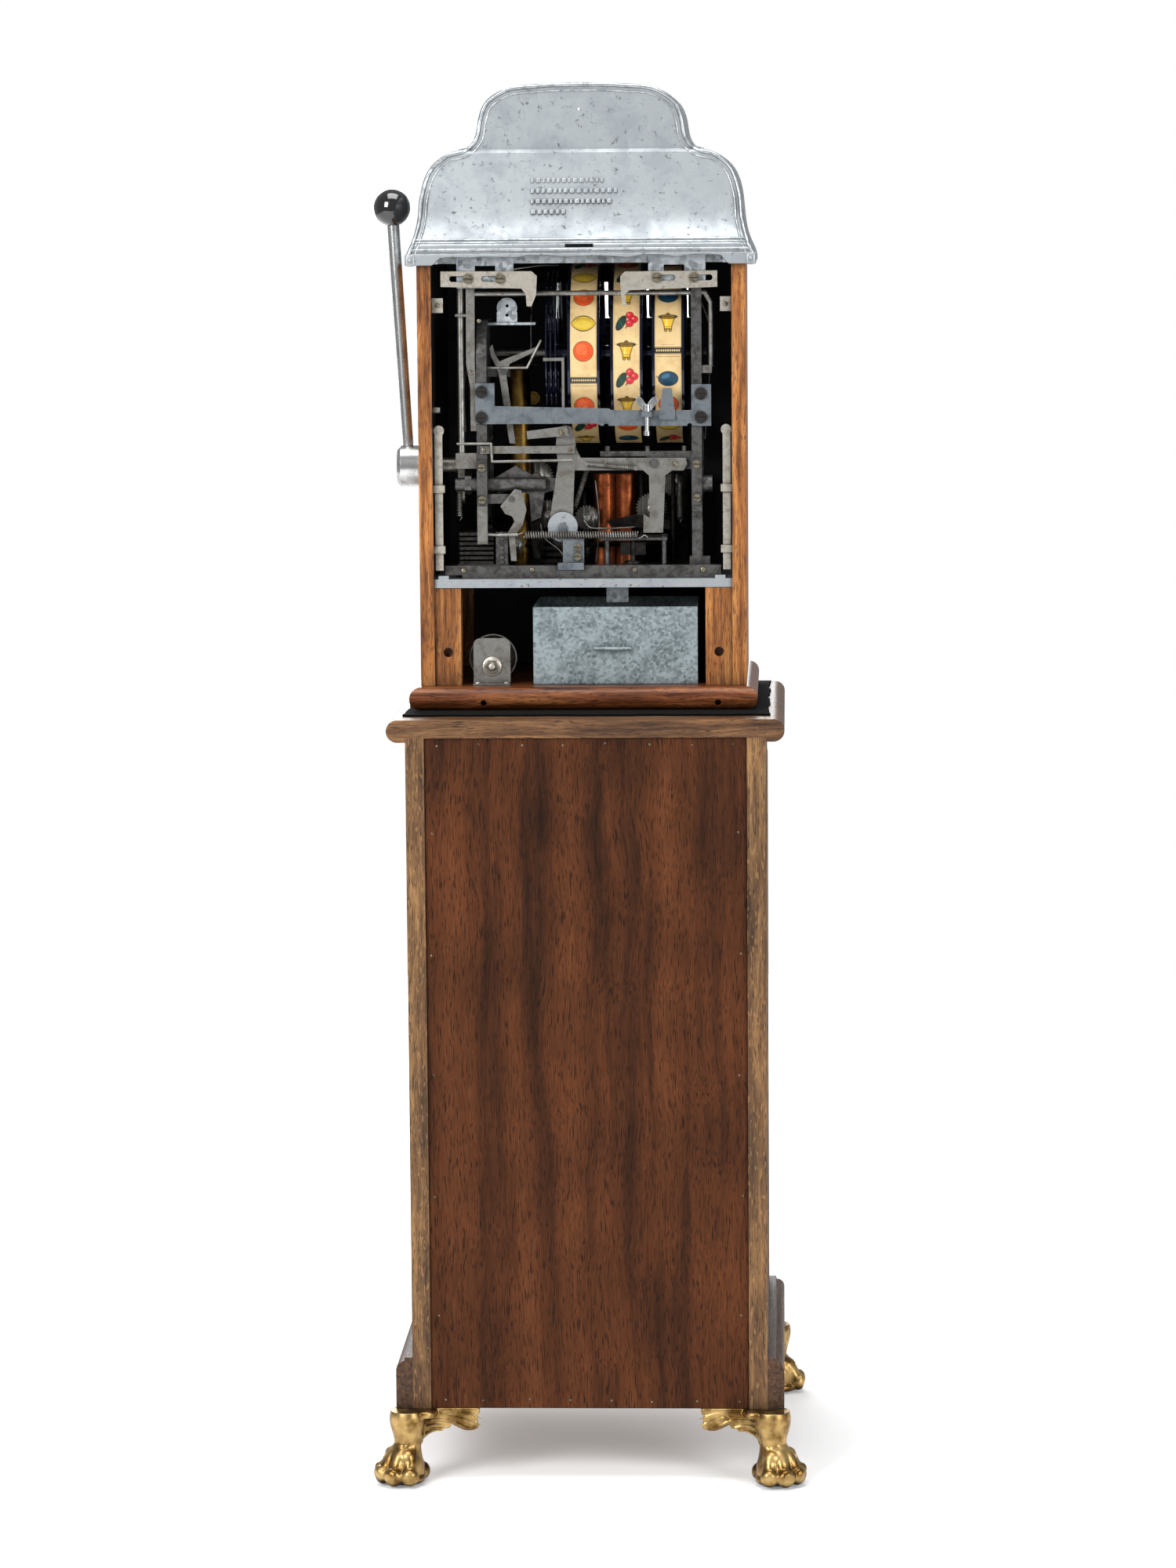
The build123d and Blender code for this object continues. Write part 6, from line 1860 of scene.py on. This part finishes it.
@dataclass
class FrontTrim(Assembly):
    """The player's side: window bezel and bars, award card, flutes, rays, coin plate and cup rim."""

    face: float = 285.5
    # Two sides and two heights of the window, the award card and the plate round the coin entry.
    window: tuple = (-123.0, 20.0, 296.0, 344.0)
    card: tuple = (-102.5, 102.5, 27.5, 152.5)
    coin_plate: tuple = (54.0, 96.0, 403.0, 445.0)
    # The sections of their frames, as offsets outwards and heights off the face.
    window_section: tuple = ((0.0, 0.0), (0.0, 2.2), (1.5, 3.6), (4.5, 3.6), (6.0, 2.4), (8.0, 2.2), (9.5, 0.0))
    plate_section: tuple = ((-2.0, 0.0), (-2.0, 1.4), (0, 2.4), (2.0, 1.4), (2.6, 0.0))
    card_section: tuple = ((0.0, 1.6), (0.0, 3.0), (2.2, 4.2), (5.0, 3.2), (7.0, 0.0))
    # The two sides and two depths of the payout cup's rim, and its section.
    cup: tuple = (-58.0, 58.0, 287.5, 317.5)
    cup_section: tuple = ((-2.0, -72.6), (-2.0, -71.0), (0.0, -69.8), (2.0, -71.0), (2.0, -72.6))
    # Middle and half width of each bar between the reels.
    gaps: tuple = ((-26.4, 5.0), (-75.75, 5.0), (-121.0, 2.2))
    # Height, radius and reach of each level bead.
    rules: tuple = (
        (276.0, 2.6, 0.76), (270.5, 1.4, 0.76), (184.0, 2.2, 0.72), (178.8, 1.2, 0.72), (-60.0, 1.6, 0.76),
    )
    ray_count: int = 11
    # The boss's place across and its height.
    ray_spot: tuple = (-10.0, 196.0)
    # Distance along the axis and radius, round a screw's head.
    screw_profile: tuple = ((-1.0, 2.0), (0, 3.4), (1.0, 3.2), (1.7, 1.9), (1.5, 0.4))
    # Place across and height of each screw.
    screw_spots: tuple = (
        (-112, 22), (112, 22), (-112, 158), (112, 158), (-174, 342), (174, 342), (-174, -104), (174, -104),
    )
    # The first letters of each line's pictures.
    awards: tuple = ("CC", "OOO", "PPP", "BBO", "LLL", "BBB")
    # How many coins each line pays.
    dots: tuple = (2, 5, 6, 8, 9, 12)
    step: float = 0.56
    scale: float = 0.72
    rule_red: str = "5A1C14"

    def build(self) -> None:
        """Builds each fitting on the front casting."""
        for part in (self.bezels, self.bars, self.flutes, self.rays, self.cup_rim, self.paint_card, self.screws):
            part()

    def place(self, x: np.ndarray, proud: float, h: np.ndarray) -> np.ndarray:
        """Puts a point on the front face."""
        return self.lay.at(x, self.face + proud, h)

    def level(self, x: np.ndarray, height: float, d: np.ndarray) -> np.ndarray:
        """Puts a point on a level plane at a height."""
        return self.lay.at(x, d, height)

    def bezels(self) -> None:
        """Frames the window, the coin plate and the card."""
        shape = Shape()
        moulding(shape, self.window, 2.0, self.window_section, self.place)
        moulding(shape, self.coin_plate, 6.0, self.plate_section, self.place)
        moulding(shape, self.card, 1.0, self.card_section, self.place)
        settle(shape.piece("front_bezels"), "base", self.finishes.front_brass)

    def bars(self) -> None:
        """Covers the gaps between the reels, just behind the window."""
        shape = Shape()
        for gap, half in self.gaps:
            middle = self.lay.at(gap, 279.5, 320.0)
            pillow(shape, middle - (half, 5.4, 23.8), middle + (half, 5.4, 23.8), 0.24, 12, 24)
        settle(shape.piece("window_bars"), "base", self.finishes.alloy)

    def flutes(self) -> None:
        """Upright flutes at each side, the inner ones rounded off at their ends, and level beads."""
        shape = Shape()
        h = np.linspace(-96, 262, 40)
        swell = np.minimum(1.0, np.minimum(h + 96.4, 262.4 - h) / 6.0) ** 0.5
        tall = np.linspace(-112, 350, 40)
        for side in (1, -1):
            for k in range(4):
                path = self.lay.at(side * (118.5 + 6.5 * k), self.face + 0.3, h)
                tube(shape, path, 2.5 * swell + 0.1, 12, (1, 0, 0))
            for k in range(3):
                path = self.lay.at(side * (153.0 + 7.0 * k), self.face + 6.2, tall)
                tube(shape, path, 2.2, 12, (1, 0, 0))
        x = np.linspace(-142, 142, 60)
        for height, radius, reach in self.rules:
            tube(shape, self.lay.at(x * reach, self.face + 0.2, height), radius, 12, (0, 0, 1))
        settle(shape.piece("front_flutes"), "base", self.finishes.bright_alloy)

    def rays(self) -> None:
        """A half circle of plain raised rays above the card: ribs that swell towards their middles."""
        shape = Shape()
        x, h = self.ray_spot
        t = np.linspace(0, 1, 14)
        out = 20 + 42 * t
        width = 0.7 + 2.4 * np.sin(np.pi * t**0.7) ** 0.6
        for turn in np.linspace(0.12, np.pi - 0.12, self.ray_count):
            across, up = x + out * 1.35 * math.cos(turn), h + out * math.sin(turn) * 0.98
            tube(shape, self.place(across, 0.2, up), width, 12, (0, -1, 0))
        middle = self.place(x, 0.5, h)
        pillow(shape, middle - (15, 3.2, 3), middle + (15, 3.2, 16), 0.8, 14, 26)
        settle(shape.piece("front_rays"), "base", self.finishes.bright_alloy)

    def cup_rim(self) -> None:
        """Beads the payout cup's upper edge."""
        shape = Shape()
        moulding(shape, self.cup, 7.0, self.cup_section, self.level)
        settle(shape.piece("cup_rim"), "base", self.finishes.bright_alloy)

    def paint_card(self) -> None:
        """The award card: rows of three plain pictures and a count of dots, in ink on a flat sheet."""
        x0, x1, h0, h1 = self.card
        cols, rows = int((x1 - x0) / self.step), int((h1 - h0) / self.step)
        x, h = np.meshgrid(np.linspace(x0, x1, cols), np.linspace(h0, h1, rows), indexing="ij")
        colour = np.ones((*x.shape, 3)) * np.array(linear("D9C69A")[:3])
        whole = Painter(x, h, colour)
        for side in (x0 + 3, 0.0, x1 - 3):
            whole.ink(np.abs(x - side) - 0.5, self.rule_red)
        for height in (h0 + 3, h1 - 3):
            whole.ink(np.abs(h - height) - 0.5, self.rule_red)
        for k, (line, dots) in enumerate(zip(self.awards, self.dots)):
            left, height = (x0 + 15 if k < 3 else 12.0), 132.0 - 40.0 * (k % 3)
            for j, letter in enumerate(line):
                spot = Painter((x - left - 21 * j) / self.scale, (h - height) / self.scale, colour)
                spot.draw(letter)
            for j in range(dots):
                dot = whole.disc(left + 57 + 5.4 * (j % 5), height + 6 - 6 * (j // 5), 1.9)
                whole.outlined(dot, "C9A23E", 0.6)
            whole.ink(whole.dash(left - 9, height - 17, left + 82, height - 17, 0.5), self.rule_red)
        card = make_mesh("award_card", self.place(x, 1.75, h).reshape(-1, 3), grid_faces(cols, rows))
        if card.data.polygons[0].normal.y > 0:
            card.data.flip_normals()
        give_ink(card, colour)
        settle(card, "base", self.finishes.card)

    def screws(self) -> None:
        """Screws at the card frame's corners and, on the raised flutes, at the casting's."""
        shape = Shape()
        for x, h in self.screw_spots:
            spot = tuple(self.place(x, 6.0 if abs(x) > 150 else 0.0, h))
            turned(shape, self.screw_profile, spot, (0, -1, 0), 16)
        settle(shape.piece("front_screws"), "base", self.finishes.screw_steel)


@dataclass
class StandTrim(Assembly):
    """The stand's mouldings, its key plate, the rear panel's nails and the nut on the gong's bracket."""

    recess: float = 3.0
    stile: float = 55.0
    nail: float = 1.35
    # Offset inwards and height off the face, round the door's moulding.
    door_section: tuple = (
        (0.0, -5.0), (0.0, 0.8), (-2.0, 1.5), (-5.0, 0.4), (-8.0, -2.4), (-11.0, -3.4), (-12.0, -5.0),
    )
    # The same for the side panels' moulding.
    side_section: tuple = ((0.0, -3.0), (0.0, 0.4), (-2.5, 0.8), (-6.0, -0.8), (-9.0, -2.2), (-9.6, -3.0))
    # Offset inwards and height off the face, round the key plate.
    key_section: tuple = ((-5.6, 0.0), (-5.6, 1.0), (-0.6, 1.2), (0.0, 0.5), (0.0, 0.0))
    # The key plate's two heights.
    key_spot: tuple = (468, 492)
    low: np.ndarray = field(default_factory=lambda: node_box("stand_frame")[0])
    high: np.ndarray = field(default_factory=lambda: node_box("stand_frame")[1])
    half: float = field(default_factory=lambda: abs(node_box("stand_rear_panel")[0][0]))

    def build(self) -> None:
        """Builds each small fitting."""
        for part in (self.door_moulding, self.side_mouldings, self.key_plate, self.nails, self.gong_nut):
            part()

    def on_front(self, x: np.ndarray, proud: float, z: np.ndarray) -> np.ndarray:
        """Puts a point on the stand's front."""
        return np.stack(np.broadcast_arrays(x, self.low[1] - proud, z), -1).astype(float)

    def on_left(self, y: np.ndarray, proud: float, z: np.ndarray) -> np.ndarray:
        """Puts a point on the stand's left side."""
        return np.stack(np.broadcast_arrays(self.high[0] + proud, y, z), -1).astype(float)

    def on_right(self, y: np.ndarray, proud: float, z: np.ndarray) -> np.ndarray:
        """Puts a point on the stand's right side."""
        return np.stack(np.broadcast_arrays(self.low[0] - proud, y, z), -1).astype(float)

    def door_moulding(self) -> None:
        """Frames the door's panel."""
        shape = Shape()
        reach = self.half - self.stile
        low, high = self.low[2] + 65.0 + self.stile, self.high[2] - 22.0 - self.stile
        moulding(shape, (-reach, reach, low, high), 0.3, self.door_section, self.on_front)
        piece = shape.piece("door_panel_moulding")
        settle(piece, "cupboard_door", self.finishes.oak_upright)

    def side_mouldings(self) -> None:
        """Frames the panel on each side."""
        shape = Shape()
        box = (self.low[1] + 20.0, self.high[1] - 40.0, self.low[2] + 60.0, self.high[2] - 60.0)
        for place in (self.on_left, self.on_right):
            moulding(shape, box, 0.3, self.side_section, place)
        settle(shape.piece("side_panel_mouldings"), "base", self.finishes.oak_upright)

    def key_plate(self) -> None:
        """Puts a key plate on the door's stile and a round plate behind the knob."""
        shape = Shape()
        spot = -(self.half - self.stile / 2)
        moulding(shape, (spot - 6, spot + 6, *self.key_spot), 5.8, self.key_section, self.on_front)
        rose = [(0, 20), (0.8, 20), (1.6, 17), (1.6, 12)]
        turned(shape, rose, (spot, self.low[1], 520.0), (0, -1, 0), 36)
        settle(shape.piece("door_key_plate"), "cupboard_door", self.finishes.front_brass)

    def nails(self) -> None:
        """Drives nails a little unevenly round the rear panel's edge."""
        shape = Shape()
        draw = np.random.default_rng(3)
        face = self.high[1] - self.recess
        low, high, half = self.low[2], self.high[2], self.half
        spots = [(x, z) for x in np.linspace(-half + 14, half - 14, 8) for z in (low + 9.0, high - 8.0)]
        spots += [(x, z) for z in np.linspace(low + 110, high - 110, 5) for x in (-half + 8, half - 8)]
        head = [(-0.5, self.nail), (0.15, self.nail), (0.3, self.nail * 0.6)]
        for x, z in spots:
            x, z = x + draw.uniform(-3, 3), z + draw.uniform(-1.5, 1.5)
            turned(shape, head, (x, face, z), (0, 1, 0), 10)
        settle(shape.piece("panel_nails"), "base", self.finishes.screw_steel)

    def gong_nut(self) -> None:
        """The gong's raised ring, its nut and two screws in the bracket's foot."""
        shape = Shape()
        middle = tuple(self.lay.at(108.0, 10.0, -103.0))
        ring = [(-4.2, 11.5), (-3.4, 11.5), (-3.0, 10.6), (-3.0, 8.6), (-1.6, 8.4), (-1.4, 7.6)]
        nut = [(0, 5.2), (1.2, 5.0), (1.6, 3.8), (4.2, 3.8), (4.8, 3.0), (4.6, 0.6)]
        turned(shape, ring, middle, (0, 1, 0), 30)
        turned(shape, nut, middle, (0, 1, 0), 24)
        for x in (91.0, 125.0):
            spot = tuple(self.lay.at(x, 8.0, -122.5))
            turned(shape, [(-1, 3.4), (1.2, 3.2), (2.0, 1.8)], spot, (0, 0, 1), 16)
        settle(shape.piece("gong_nut"), "base", self.finishes.pale_steel)


# ---- Main -----------------------------------------------------------------------------------
def dress(finishes: Finishes) -> None:
    """Gives every CAD node its material."""
    worn = finishes.by_node()
    for name, material in worn.items():
        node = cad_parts[name]
        node.data.materials.clear()
        node.data.materials.append(material)
    LOG.info("dressed %d CAD nodes", len(worn))


def main() -> None:
    """Builds the studio, the finishes and the pieces in order."""
    logging.basicConfig(level=logging.INFO, format="%(message)s", stream=sys.stdout)
    Studio().build()
    finishes = Finishes()
    dress(finishes)
    lay = Layout.read()
    FeltMat(lay, finishes).build()
    PawFeet(lay, finishes).build()
    for number, start, order, body in (
        (1, -33.5, "ODOLOLCPBOLBPDOCLPBC", "reel_one"),
        (2, -32.6, "BCBCBCOPLBCDPOCBLCPO", "reel_two"),
        (3, -33.0, "OPDBPLCOBPLCBODPLBCL", "reel_three"),
    ):
        ReelStrip(lay, finishes, number, start, order, body).build()
    for assembly in (HoodTrim, Springs, Works, FrontTrim, StandTrim):
        assembly(lay, finishes).build()


if __name__ == "__main__":
    main()
